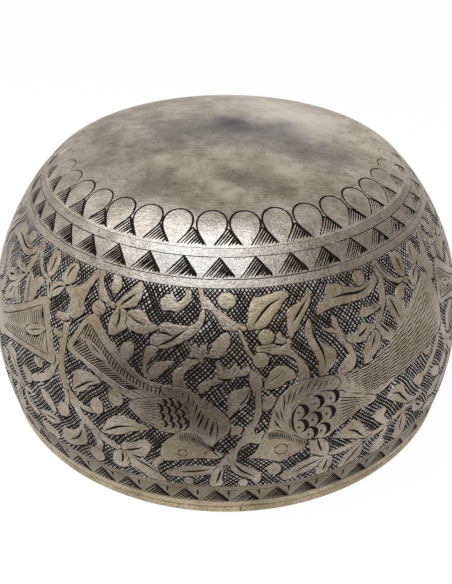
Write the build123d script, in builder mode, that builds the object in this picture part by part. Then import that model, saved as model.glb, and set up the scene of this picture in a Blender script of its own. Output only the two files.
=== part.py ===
"""A raised and engraved metal offering bowl, standing on its mouth with its domed base up.

Millimetres, +Z up. The origin is the centre of the mouth, on the plane that the rim stands on.
"""

import os
from math import asin, atan2, cos, degrees, radians, sin

from build123d import *

# Bowl body, all sizes on its outer face
belly_radius = 60.0  # widest ring of the wall
belly_height = 13.0  # of that ring above the plane of the mouth
bowl_height = 62.5  # from the mouth to the crown of the base
wall_curve = 58.0  # radius of the wall's profile, seen from the side
base_curve = 184.0  # radius of the base's low dome
shoulder_radius = 16.0  # rounds the wall into the base
sheet = 1.0  # thickness of the raised sheet

# Turned guide lines of the engraved borders, each a half-round groove
line_radius = 0.15
petal_line = 0.6  # under the petals, down the wall from where the shoulder ends
triangle_top_line = 2.4  # the others of the shoulder are measured alike
triangle_foot_line = 6.4
frieze_top_line = 8.05
frieze_foot_line = 7.65  # up the wall from the lower edge of the sheet
tooth_line = 6.35  # over the rim's toothed border, measured alike

# Punched mark at the crown that the lines were laid out from
centre_mark_radius = 0.6
centre_mark_depth = 0.4

# Wire hoop at the mouth
wire_height = 2.0
wire_width = 1.8  # radially, so it stands proud of the sheet on the inside
wire_rounding = 0.4  # of its edges
joint_angle = 3.0  # where its ends meet, in degrees to the right of the front
joint_gap = 0.3  # between its ends, filled with solder

# Seam between the hoop and the sheet
seam_height = 0.15

# Centres of the three arcs of the profile, as (radius, height)
wall_centre = Vector(belly_radius - wall_curve, belly_height)
base_centre = Vector(0, bowl_height - base_curve)


def shoulder_point():
    """Gives the centre of the shoulder arc, which touches the wall and base arcs from inside."""
    from_wall = wall_curve - shoulder_radius
    from_base = base_curve - shoulder_radius
    apart = wall_centre - base_centre
    along = (from_base**2 - from_wall**2 + apart.length**2) / (2 * apart.length)
    aside = (from_base**2 - along**2) ** 0.5
    outward = Vector(apart.Y, -apart.X).normalized()
    return base_centre + apart.normalized() * along + outward * aside


def slope(start, end):
    """Gives the angle of the line from start to end, in degrees above the horizontal."""
    return degrees(atan2(end.Y - start.Y, end.X - start.X))


shoulder_centre = shoulder_point()
shoulder_start = slope(wall_centre, shoulder_centre)  # where the wall arc ends
shoulder_end = slope(base_centre, shoulder_centre)  # where the base arc begins
crown = 90.0  # where the base arc ends, straight above its centre, in degrees
seat_height = wire_height + seam_height  # the sheet's lower edge


def mouth_angle(skin):
    """Gives the wall arc's angle at the sheet's lower edge, skin below the outer face."""
    return degrees(asin((seat_height - belly_height) / (wall_curve - skin)))


def wall_point(angle, skin=0.0):
    """Gives the point of the wall arc at an angle, skin below the outer face."""
    reach = wall_curve - skin
    return wall_centre + Vector(cos(radians(angle)), sin(radians(angle))) * reach


def dome_section(skin):
    """Draws half of the bowl's section out to a face that lies skin below the outer one."""
    mouth = mouth_angle(skin)
    turn = shoulder_end - shoulder_start
    with BuildSketch(Plane.XZ) as section:
        with BuildLine():
            wall = CenterArc(wall_centre, wall_curve - skin, mouth, shoulder_start - mouth)
            CenterArc(shoulder_centre, shoulder_radius - skin, shoulder_start, turn)
            base = CenterArc(base_centre, base_curve - skin, shoulder_end, crown - shoulder_end)
            Polyline(base @ 1, (0, seat_height), wall @ 0)
        make_face()
    return section.sketch


sheet_outer = wall_point(mouth_angle(0)).X
sheet_inner = wall_point(mouth_angle(sheet), sheet).X
wire_middle = sheet_outer - wire_width / 2  # the hoop is flush with the sheet outside
joint_cut = 2 * max(wire_width, wire_height)  # reaches right through the wire
joint_place = Plane.XY.rotated((0, 0, joint_angle - 90)).offset(wire_height / 2)


def wire_section():
    """Draws the wire's rounded section, where it lies at the mouth."""
    with BuildSketch(Plane.XZ) as section:
        with Locations((wire_middle, wire_height / 2)):
            RectangleRounded(wire_width, wire_height, wire_rounding)
    return section.sketch


# The raised sheet: a solid dome, hollowed, then scored with its guide lines
with BuildPart() as bowl_body:
    add(dome_section(0))
    revolve(axis=Axis.Z)
    add(dome_section(sheet))
    revolve(axis=Axis.Z, mode=Mode.SUBTRACT)
    line_drops = (petal_line, triangle_top_line, triangle_foot_line, frieze_top_line)
    line_rises = (frieze_foot_line, tooth_line)
    line_angles = [shoulder_start - degrees(drop / wall_curve) for drop in line_drops]
    line_angles += [mouth_angle(0) + degrees(rise / wall_curve) for rise in line_rises]
    with BuildSketch(Plane.XZ):
        with Locations([wall_point(angle) for angle in line_angles]):
            Circle(line_radius)
    revolve(axis=Axis.Z, mode=Mode.SUBTRACT)
    with Locations((0, 0, bowl_height - centre_mark_depth / 2)):
        Cone(0, centre_mark_radius, centre_mark_depth, mode=Mode.SUBTRACT)
bowl_body.part.label = "bowl_body"

# The seam of solder that the sheet's edge sits on
with BuildPart() as rim_solder:
    with BuildSketch(Plane.XY.offset(wire_height)):
        Circle(sheet_outer)
        Circle(sheet_inner, mode=Mode.SUBTRACT)
    extrude(amount=seam_height)
rim_solder.part.label = "rim_solder"

# The hoop, open by the gap between its ends
with BuildPart() as rim_wire:
    add(wire_section())
    revolve(axis=Axis.Z)
    with Locations(joint_place):
        with Locations((wire_middle, 0)):
            Box(joint_cut, joint_gap, joint_cut, mode=Mode.SUBTRACT)
rim_wire.part.label = "rim_wire"

# The solder that fills that gap, with the wire's own section
with BuildPart() as rim_joint_solder:
    add(wire_section())
    revolve(axis=Axis.Z)
    with Locations(joint_place):
        with Locations((wire_middle, 0)):
            Box(joint_cut, joint_gap, joint_cut, mode=Mode.INTERSECT)
rim_joint_solder.part.label = "rim_joint_solder"

os.makedirs("parts", exist_ok=True)
export_step(bowl_body.part, "parts/bowl_body.step")
export_step(rim_wire.part, "parts/rim_wire.step")
export_step(rim_solder.part, "parts/rim_solder.step")
export_step(rim_joint_solder.part, "parts/rim_joint_solder.step")
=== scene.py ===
"""Looks of the offering bowl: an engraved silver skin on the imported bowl, its rim, and a plain studio.

The engraving is real relief. Each border is drawn flat, in degrees round the bowl and millimetres down its
wall, cut into a thin skin of metal, and wrapped onto the turned form over a blackened core.
"""

import logging
import math
import random
from dataclasses import dataclass, field
from enum import Enum
from functools import cached_property
from typing import Callable, Iterator, Sequence

import bmesh
import bpy
from bmesh.types import BMEdge, BMesh, BMFace, BMVert
from bpy.types import Material, Node, NodeSocket, NodeTree, Object
from mathutils import Matrix, Vector
from mathutils.geometry import delaunay_2d_cdt
from mathutils.kdtree import KDTree


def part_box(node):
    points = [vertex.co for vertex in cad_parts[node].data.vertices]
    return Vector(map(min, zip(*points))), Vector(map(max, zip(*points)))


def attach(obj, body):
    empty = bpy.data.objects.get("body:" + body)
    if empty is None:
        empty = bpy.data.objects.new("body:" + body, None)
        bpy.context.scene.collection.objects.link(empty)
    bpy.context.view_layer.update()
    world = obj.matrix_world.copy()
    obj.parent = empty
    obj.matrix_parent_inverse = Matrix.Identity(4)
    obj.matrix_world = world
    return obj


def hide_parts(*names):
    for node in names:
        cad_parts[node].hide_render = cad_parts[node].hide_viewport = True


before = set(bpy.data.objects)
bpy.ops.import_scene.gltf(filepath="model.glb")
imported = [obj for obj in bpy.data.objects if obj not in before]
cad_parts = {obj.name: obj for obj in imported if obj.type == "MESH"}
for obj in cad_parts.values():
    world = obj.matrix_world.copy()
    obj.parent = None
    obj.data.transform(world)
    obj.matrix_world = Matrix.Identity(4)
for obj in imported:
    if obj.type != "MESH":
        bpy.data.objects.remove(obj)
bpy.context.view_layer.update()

LOG = logging.getLogger("offering_bowl")
MM = 0.001
BODY = "root"
IMAGE_HEIGHT = 584
WHITE = "#FFFFFF"
FULL_TURN = 360.0
PANELS = 4  # of the frieze
MERGE = MM * 1e-3  # closer points of a mesh are one

# A hand-cut outline swells and thins: its mean weight, how far it swings from that, and the swing per point
OUTLINE_WEIGHT = 0.8
OUTLINE_SWELL = 0.45
OUTLINE_BEAT = 0.8

Point = tuple[float, float]
Path = Sequence[Point]
Cuts = list[list[Point]]  # the outline of each
Mark = tuple[float, float, float, float]  # a smudge's flat place, reach and share


class Role(Enum):
    """What an outline in a drawing stands for."""

    FIELD = "the whole skin"
    GROUND = "a cut of the ground, which every motif covers"
    RIM = "a motif with its outline"
    FACE = "a motif inside its outline"
    CUT = "a cut in a motif's face"


def flow(points: Path, closed: bool = False, step: float = 0.45) -> list[Point]:
    """Draws a smooth curve through a few points.

    Args:
        points: the points that the curve passes through.
        closed: whether the curve runs back to its first point.
        step: the distance between the points of the curve.

    Returns:
        The curve's points, without a repeated last point on a closed curve.
    """
    count = len(points)
    curve: list[Point] = []
    for place in range(count if closed else count - 1):
        if closed:
            four = [points[(place + shift) % count] for shift in (-1, 0, 1, 2)]
        else:
            four = [points[min(max(place + shift, 0), count - 1)] for shift in (-1, 0, 1, 2)]
        before, start, end, after = (Vector(point) for point in four)
        pieces = max(1, round((end - start).length / step))
        for piece in range(pieces):
            part = piece / pieces
            curve.append(tuple(
                0.5 * (2 * start + (end - before) * part
                       + (2 * before - 5 * start + 4 * end - after) * part**2
                       + (3 * start - before - 3 * end + after) * part**3)
            ))
    if not closed:
        curve.append(tuple(points[-1]))
    return curve


def turned_left(outline: Path) -> list[Point]:
    """Gives an outline in anticlockwise order."""
    area = sum(a[0] * b[1] - b[0] * a[1] for a, b in zip(outline, [*outline[1:], outline[0]]))
    return list(outline) if area > 0 else list(reversed(outline))


def sides(path: Path) -> Iterator[tuple[Vector, Vector]]:
    """Walks along an open path.

    Args:
        path: the points in order.

    Yields:
        Each point, with the unit vector to its left.
    """
    last = len(path) - 1
    for place, point in enumerate(path):
        ahead = Vector(path[min(place + 1, last)]) - Vector(path[max(place - 1, 0)])
        ahead.normalize()
        yield Vector(point), Vector((-ahead.y, ahead.x))


def ribbon(path: Path, width: float, taper: tuple[float, float] = (0.25, 0.25),
           tip: float = 0.2) -> list[Point]:
    """Draws the outline of a cut or stem along a path.

    Args:
        path: the middle line.
        width: full width in the middle.
        taper: share of the length that narrows at the start and at the end.
        tip: width at the very ends, as a share of the full width.

    Returns:
        The outline, anticlockwise.
    """
    left: list[Point] = []
    right: list[Point] = []
    last = len(path) - 1
    for place, (point, aside) in enumerate(sides(path)):
        part = place / last
        share = 1.0
        if taper[0] > 0:
            share = min(share, tip + (1 - tip) * part / taper[0])
        if taper[1] > 0:
            share = min(share, tip + (1 - tip) * (1 - part) / taper[1])
        left.append(tuple(point + aside * width / 2 * share))
        right.append(tuple(point - aside * width / 2 * share))
    return turned_left(left + right[::-1])


def grown(outline: Path, margin: float, heavy: Vector) -> list[Point]:
    """Gives an anticlockwise outline moved outwards by a margin.

    Args:
        outline: the points in order.
        margin: the distance moved, about, because a hand-cut outline swells and thins.
        heavy: the side to which the margin is wider, and by which share of it; the wider dark outline there
            is partly painted shadow.

    Returns:
        The moved points.
    """
    moved: list[Point] = []
    count = len(outline)
    for place, point in enumerate(outline):
        ahead = Vector(outline[(place + 1) % count]) - Vector(outline[place - 1])
        ahead.normalize()
        out = Vector((ahead.y, -ahead.x))
        weight = OUTLINE_WEIGHT + OUTLINE_SWELL * math.sin(OUTLINE_BEAT * place + count)
        moved.append(tuple(Vector(point) + out * margin * weight * (1 + max(0.0, out.dot(heavy)))))
    return moved


def holds(outline: Path, point: Point) -> bool:
    """Tells whether a point lies inside an outline.

    Args:
        outline: the points in order.
        point: the point that is asked about.

    Returns:
        Whether it does.
    """
    x, y = point
    inside = False
    before = outline[-1]
    for here in outline:
        if (here[1] > y) != (before[1] > y):
            if x < (before[0] - here[0]) * (y - here[1]) / (before[1] - here[1]) + here[0]:
                inside = not inside
        before = here
    return inside


@dataclass(frozen=True)
class BowlForm:
    """The bowl's outer face in millimetres: three arcs turned about the axis.

    Distances down the wall are measured from the top line of the frieze, and are negative above it.
    """

    belly_radius: float
    height: float
    seat_height: float
    belly_height: float = 13.0
    wall_curve: float = 58.0
    base_curve: float = 184.0
    shoulder_radius: float = 16.0
    sheet: float = 1.0
    frieze_drop: float = 8.05  # the frieze's top line, down the wall from the shoulder

    @cached_property
    def wall_centre(self) -> Vector:
        """Centre of the wall's arc, as radius and height."""
        return Vector((self.belly_radius - self.wall_curve, self.belly_height))

    @cached_property
    def base_centre(self) -> Vector:
        """Centre of the base's arc, as radius and height."""
        return Vector((0, self.height - self.base_curve))

    @cached_property
    def shoulder_centre(self) -> Vector:
        """Centre of the shoulder's arc, which touches the other two from inside.

        Returns:
            Its radius and height.
        """
        from_wall = self.wall_curve - self.shoulder_radius
        from_base = self.base_curve - self.shoulder_radius
        apart = self.wall_centre - self.base_centre
        reach = (from_base**2 - from_wall**2 + apart.length_squared) / (2 * apart.length)
        aside = math.sqrt(from_base**2 - reach**2)
        unit = apart.normalized()
        return self.base_centre + unit * reach + Vector((unit.y, -unit.x)) * aside

    @cached_property
    def shoulder_start(self) -> float:
        """Angle at which the wall ends and the shoulder starts, in radians."""
        apart = self.shoulder_centre - self.wall_centre
        return math.atan2(apart.y, apart.x)

    @cached_property
    def shoulder_end(self) -> float:
        """Angle at which the shoulder ends and the base starts, in radians."""
        apart = self.shoulder_centre - self.base_centre
        return math.atan2(apart.y, apart.x)

    @cached_property
    def crown(self) -> float:
        """Distance down the wall of the crown of the base, which is negative."""
        shoulder = self.shoulder_radius * (self.shoulder_end - self.shoulder_start)
        return -(self.frieze_drop + shoulder + self.base_curve * (math.pi / 2 - self.shoulder_end))

    @cached_property
    def seat(self) -> float:
        """Distance down the wall of the sheet's lower edge."""
        angle = math.asin((self.seat_height - self.belly_height) / self.wall_curve)
        return self.wall_curve * (self.shoulder_start - angle) - self.frieze_drop

    def section(self, down: float, depth: float = 0.0) -> Vector:
        """Gives a point of the section.

        Args:
            down: distance down the wall on the outer face.
            depth: distance under the outer face.

        Returns:
            The point, as radius and height.
        """
        below = down + self.frieze_drop
        shoulder = self.shoulder_radius * (self.shoulder_end - self.shoulder_start)
        if below >= 0:
            centre, radius = self.wall_centre, self.wall_curve
            angle = self.shoulder_start - below / radius
        elif -below <= shoulder:
            centre, radius = self.shoulder_centre, self.shoulder_radius
            angle = self.shoulder_start - below / radius
        else:
            centre, radius = self.base_centre, self.base_curve
            angle = self.shoulder_end + (-below - shoulder) / radius
        return centre + Vector((math.cos(angle), math.sin(angle))) * (radius - depth)

    def on_strip(self, flat: Vector) -> Vector:
        """Places a point of an unrolled strip on the bowl.

        Args:
            flat: degrees to the right of the front, distance down the wall, and height over the face.

        Returns:
            The point, in metres.
        """
        out = self.section(flat.y, -flat.z)
        turn = math.radians(flat.x)
        return Vector((out.x * math.sin(turn), -out.x * math.cos(turn), out.y)) * MM

    def on_crown(self, flat: Vector) -> Vector:
        """Places a point of the flattened base on the bowl.

        Args:
            flat: its plan, with true distances from the crown, and height over the face.

        Returns:
            The point, in metres.
        """
        reach = math.hypot(flat.x, flat.y)
        out = self.section(self.crown + reach, -flat.z)
        share = out.x / reach if reach > 0 else 0.0
        return Vector((flat.x * share, flat.y * share, out.y)) * MM


@dataclass
class Motif:
    """One shape of the engraving: smooth metal inside a cut outline, with cuts of its own."""

    outline: list[Point]
    cuts: Cuts = field(default_factory=list)

    def shifted(self, across: float, down: float) -> "Motif":
        """Gives a copy that is moved.

        Args:
            across: degrees round the bowl.
            down: distance down the wall.

        Returns:
            The copy.
        """
        paths = (self.outline, *self.cuts)
        outline, *cuts = ([(x + across, y + down) for x, y in path] for path in paths)
        return Motif(outline, cuts)

    def roughened(self, hand: random.Random, error: float) -> "Motif":
        """Gives a copy whose outline has the small errors of a hand-cut line.

        Args:
            hand: the hand's small errors.
            error: the largest of them.

        Returns:
            The copy.
        """
        outline = [
            (x + hand.uniform(-error, error), y + hand.uniform(-error, error)) for x, y in self.outline
        ]
        return Motif(outline, self.cuts)

    def span(self) -> tuple[float, float]:
        """Gives the lowest and highest place across."""
        places = [x for x, _ in self.outline]
        return min(places), max(places)


@dataclass
class Drawing:
    """A flat drawing of cuts and motifs, and the skin of metal that it leaves.

    Later motifs lie over earlier ones. Every motif covers the ground's cuts.
    """

    limits: list[Point]
    motifs: list[Motif] = field(default_factory=list)
    ground: Cuts = field(default_factory=list)
    bends: list[Point] = field(default_factory=list)  # free points that let the skin follow the form
    outline_width: float = 0.22
    # Outlines are wider on the lower right: partly the graver's weight, partly painted shadow on that side
    heavy: tuple[float, float] = (0.5, 0.85)  # the side on which outlines are wider, and by which share
    slope: float = 0.035  # width and depth of the worn edge along each cut
    skin: float = 0.24  # depth of the cuts
    sink: float = 0.0  # depth to which the metal is pressed down at the cuts
    sink_reach: float = 0.7  # how far from the cuts that shows
    ground_finish: int = 0  # number of the material that the metal of the ground gets
    snap: float = 1e-4  # closer points of the drawing are one

    def outlines(self) -> Iterator[tuple[Role, int, list[Point]]]:
        """Draws every outline, in the order in which they lie over each other.

        Yields:
            The outline's role, the number of its motif, and its points.
        """
        yield Role.FIELD, 0, turned_left(self.limits)
        for cut in self.ground:
            yield Role.GROUND, 0, cut
        for number, motif in enumerate(self.motifs):
            face = turned_left(motif.outline)
            yield Role.RIM, number, grown(face, self.outline_width, Vector(self.heavy))
            yield Role.FACE, number, face
            for cut in motif.cuts:
                yield Role.CUT, number, cut

    @staticmethod
    def is_metal(roles: set[tuple[Role, int]]) -> bool:
        """Tells whether a triangle stays as metal.

        Args:
            roles: the role and the motif's number of each outline that it lies inside.

        Returns:
            Whether it does.
        """
        if (Role.FIELD, 0) not in roles:
            return False
        covering = [number for role, number in roles if role in (Role.RIM, Role.FACE)]
        if not covering:
            return (Role.GROUND, 0) not in roles
        top = max(covering)
        return (Role.FACE, top) in roles and (Role.CUT, top) not in roles

    def cut(self, open_sides: bool = False) -> BMesh:
        """Cuts the drawing into a flat skin with walls round every cut.

        Args:
            open_sides: whether the skin's ends across have no wall, because another skin goes on there.

        Returns:
            The skin, flat, with its face at height 0 and its walls below it.
        """
        corners: list[Vector] = [Vector(point) for point in self.bends]
        faces: list[list[int]] = []
        roles: list[tuple[Role, int]] = []
        for role, number, outline in self.outlines():
            first = len(corners)
            corners.extend(Vector(point) for point in outline)
            faces.append(list(range(first, len(corners))))
            roles.append((role, number))
        places, _, triangles, _, _, sources = delaunay_2d_cdt(corners, [], faces, 1, self.snap, True)
        metal: list[list[int]] = []
        finishes: list[int] = []
        for triangle, found in zip(triangles, sources):
            around = {roles[source] for source in found}
            if self.is_metal(around):
                metal.append(triangle)
                bare = not any(role in (Role.RIM, Role.FACE) for role, _ in around)
                finishes.append(self.ground_finish if bare else 0)
        mesh = bpy.data.meshes.new("flat_skin")
        mesh.from_pydata([place.to_3d() for place in places], [], metal)
        mesh.polygons.foreach_set("material_index", finishes)
        skin = bmesh.new()
        skin.from_mesh(mesh)
        bpy.data.meshes.remove(mesh)
        loose = [vert for vert in skin.verts if not vert.link_faces]
        bmesh.ops.delete(skin, geom=loose, context="VERTS")
        bmesh.ops.reverse_faces(skin, faces=skin.faces)
        self.raise_walls(skin, open_sides)
        return skin

    def raise_walls(self, skin: BMesh, open_sides: bool) -> None:
        """Adds the walls of the cuts: a worn metal edge, then black down to the ground.

        Args:
            skin: the flat skin, which gets the walls.
            open_sides: whether the ends across stay open.
        """
        inset = self.snap * 10  # well over what the cutting can move a point by
        low = min(x for x, _ in self.limits) + inset
        high = max(x for x, _ in self.limits) - inset
        for face in skin.faces:
            face.smooth = True
        edges = []
        for edge in skin.edges:
            ends = [vert.co.x for vert in edge.verts]
            joint = open_sides and (max(ends) < low or min(ends) > high)
            if edge.is_boundary and not joint:
                edge.smooth = False
                edges.append(edge)
        if self.sink > 0:
            self.press(skin, edges)
        edges = self.lowered(skin, edges, self.slope, self.slope, 0)
        self.lowered(skin, edges, 0.0, self.skin - self.slope, 1)

    def press(self, skin: BMesh, edges: list[BMEdge]) -> None:
        """Presses the metal down softly towards the cuts, so that the motifs between them are rounded.

        Args:
            skin: the flat skin.
            edges: the edges of the cuts.
        """
        pressed = list({vert for edge in edges for vert in edge.verts})
        tree = KDTree(len(pressed))
        for number, vert in enumerate(pressed):
            tree.insert(vert.co, number)
        tree.balance()
        for vert in skin.verts:
            apart = tree.find(vert.co)[2]
            vert.co.z = -self.sink * max(0.0, 1 - apart / self.sink_reach) ** 2

    @staticmethod
    def lowered(skin: BMesh, edges: list[BMEdge], aside: float, drop: float,
                finish: int) -> list[BMEdge]:
        """Extrudes the edges of the cuts downwards.

        Args:
            skin: the flat skin.
            edges: the edges of the cuts.
            aside: how far the new edges move into the cuts.
            drop: how far they move down.
            finish: number of the new faces' material, or 0 for that of the face beside each.

        Returns:
            The new edges.
        """
        outward: dict[BMVert, Vector] = {}
        for edge in edges:
            start, end = (vert.co for vert in edge.verts)
            across = Vector((end.y - start.y, start.x - end.x, 0)).normalized()
            if across.dot(edge.link_faces[0].calc_center_median() - start) > 0:
                across.negate()
            for vert in edge.verts:
                outward[vert] = outward.get(vert, Vector()) + across
        made = bmesh.ops.extrude_edge_only(skin, edges=edges)["geom"]
        feet = {item for item in made if isinstance(item, BMVert)}
        for foot in feet:
            top = next(edge.other_vert(foot) for edge in foot.link_edges if edge.other_vert(foot) not in feet)
            foot.co += outward[top].normalized() * aside - Vector((0, 0, drop))
        for item in made:
            if isinstance(item, BMFace):
                item.material_index = finish or item.material_index
                item.smooth = False
        return [item for item in made if isinstance(item, BMEdge) and set(item.verts) <= feet]


def wrapped(skin: BMesh, place: Callable[[Vector], Vector]) -> BMesh:
    """Wraps a flat skin onto the bowl.

    Args:
        skin: the flat skin.
        place: turns a flat point to one on the bowl.

    Returns:
        The same skin.
    """
    for vert in skin.verts:
        vert.co = place(vert.co)
    return skin


def closed_round(strip: BMesh) -> BMesh:
    """Joins the two ends of a strip that runs all round the bowl, and gives it back."""
    bmesh.ops.remove_doubles(strip, verts=strip.verts, dist=MERGE)
    return strip


def linear(code: str) -> tuple[float, float, float, float]:
    """Turns an sRGB hex colour to a linear one.

    Args:
        code: the colour, such as #C0B8A8.

    Returns:
        Its linear red, green, blue and alpha.
    """
    parts = [int(code[place:place + 2], 16) / 255 for place in (1, 3, 5)]
    red, green, blue = (
        part / 12.92 if part <= 0.04045 else ((part + 0.055) / 1.055) ** 2.4 for part in parts
    )
    return red, green, blue, 1.0


def add_node(tree: NodeTree, kind: str, settings: dict | None = None, **inputs) -> Node:
    """Adds a node with its settings, values and links.

    Args:
        tree: the material's or world's node tree.
        kind: the node's type name.
        settings: attributes of the node.
        **inputs: a value or an output socket for each input, named with _ for a space or by its number.

    Returns:
        The new node.
    """
    node = tree.nodes.new(kind)
    for name, value in (settings or {}).items():
        setattr(node, name, value)
    for name, value in inputs.items():
        key = int(name[1:]) if name[1:].isdigit() else name.replace("_", " ")
        if isinstance(value, NodeSocket):
            tree.links.new(value, node.inputs[key])
        else:
            node.inputs[key].default_value = value
    return node


def blank_material(name: str) -> tuple[Material, NodeTree, Node]:
    """Makes a material with an empty tree.

    Args:
        name: the material's name.

    Returns:
        The material, its tree and the tree's output node.
    """
    material = bpy.data.materials.new(name)
    material.use_nodes = True
    material.node_tree.nodes.clear()
    return material, material.node_tree, material.node_tree.nodes.new("ShaderNodeOutputMaterial")


def spots(tree: NodeTree, place: NodeSocket, size: float, limits: tuple[float, float],
          share: float = 1.0, detail: float = 4.0, roughness: float = 0.5) -> NodeSocket:
    """Makes soft spots out of noise.

    Args:
        tree: the material's node tree.
        place: the socket with the place on the object.
        size: mm across a spot.
        limits: values of the noise between which a spot fades in.
        share: how much of a spot shows in its middle.
        detail: how many times finer noise is laid over it.
        roughness: how strong that finer noise is.

    Returns:
        The socket with the share of the spots.
    """
    noise = add_node(tree, "ShaderNodeTexNoise", Vector=place, Scale=1 / (size * MM), Detail=detail,
                     Roughness=roughness)
    fade = add_node(tree, "ShaderNodeMapRange", Value=noise.outputs["Fac"], From_Min=limits[0],
                    From_Max=limits[1], To_Max=share)
    return fade.outputs["Result"]


class Stain(Enum):
    """Colours of the larger smudges: stains, and painted shade, reflection and highlight."""

    SOOT_AND_DARK_REFLECTION = "#292C33"
    SMOKE_AND_DARK_REFLECTION = "#465062"
    EARTH = "#5A4A39"
    GRIME_AND_SHADE = "#3E3A36"
    RUBBED = "#DAD4C9"
    FLECK = "#D3C9B8"
    GOLDEN = "#AB9874"
    PAINTED_HIGHLIGHT_TINT = "#ABA8A4"


@dataclass(frozen=True)
class Smudge:
    """A soft patch of colour round one place of the metal; some are stains, some painted shade, reflection
    and highlight.
    """

    place: Vector  # in metres
    reach: float  # mm from its middle to where it has faded
    colour: str
    share: float  # of the metal's own colour that it covers in its middle


# Place, reach and share of each smudge, stain by stain, in the order in which they lie over each other.
# On the wall and shoulder the place is degrees and a distance down the wall
WALL_STAINS = (
    # Dark smudges, partly grime and partly painted shade where the lower front of the wall reflects the
    # shaded floor in front of the bowl
    (Stain.GRIME_AND_SHADE, (
        (-10, 24.5, 10, 0.55), (-27, 38, 8, 0.4), (-2, 28, 8, 0.3), (18, 27, 7, 0.3), (-6, 39, 15, 0.3),
        (-21, 17.5, 10, 0.5), (-15, 12, 7, 0.25), (18, 19, 7, 0.35), (-13, 33.5, 8, 0.25), (3, 34, 8, 0.5),
        (14, 36, 10, 0.25),
    )),
    (Stain.GOLDEN, (
        (7.7, 4, 8, 0.4), (14, 4.5, 7, 0.35), (5, 10, 7, 0.35), (9.5, 17, 7, 0.3), (8, 30, 9, 0.25),
        (-13, 31, 8, 0.25),
    )),
)
# A neutral tint where the lamp's highlight falls on the front of the shoulder and the petals: a painted
# highlight colour
SHOULDER_HIGHLIGHT_TINTS = (
    (Stain.PAINTED_HIGHLIGHT_TINT, ((-4, -5, 12, 0.6), (-15, -6.5, 9, 0.4), (-7, -10, 8, 0.2))),
)

# On the base the place is its plan, in mm
BASE_STAINS = (
    (Stain.RUBBED, ((17, 10, 15, 0.7), (21, 3, 10, 0.5), (9, 21, 15, 0.5))),
    (Stain.EARTH, ((-26, -13, 15, 0.08),)),
    # Blue-grey clouds and a near-black spot towards the back of the crown: partly tarnish, partly a painted
    # dark reflection
    (Stain.SMOKE_AND_DARK_REFLECTION, (
        (-11, -2.5, 13, 0.5), (-3, 3, 12, 0.5), (5, -1.5, 14, 0.6), (12, 0, 11, 0.45), (15, -9, 11, 0.5),
        (23, -12, 10, 0.45),
    )),
    (Stain.SOOT_AND_DARK_REFLECTION, ((0.7, 2.6, 7, 0.85),)),
    (Stain.EARTH, ((-13.5, -25, 9, 0.5), (4, -25, 10, 0.5), (11, -27.5, 7, 0.45), (-18, -13, 7, 0.35))),
    (Stain.FLECK, (
        (-13.3, -16.5, 4, 0.65), (-8.5, -21, 3.5, 0.65), (-6, -19, 3, 0.6), (-2.5, -27, 4, 0.65),
        (-1, -13.5, 5, 0.45), (9.5, -16.5, 5, 0.5), (13, -21, 3.5, 0.45), (1, -30, 3, 0.6), (3, -18, 3, 0.5),
    )),
    (Stain.RUBBED, ((-21, 2.5, 4, 0.7), (-18, -1.5, 3.5, 0.7))),
)


def smudged(place: Callable[[Vector], Vector],
            stains: Sequence[tuple[Stain, Sequence[Mark]]]) -> tuple[Smudge, ...]:
    """Places smudges on the bowl.

    Args:
        place: turns a flat place to one on the bowl.
        stains: each stain with its smudges.

    Returns:
        The smudges.
    """
    return tuple(
        Smudge(place(Vector((x, y, 0))), reach, stain.value, share)
        for stain, marks in stains
        for x, y, reach, share in marks
    )


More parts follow.
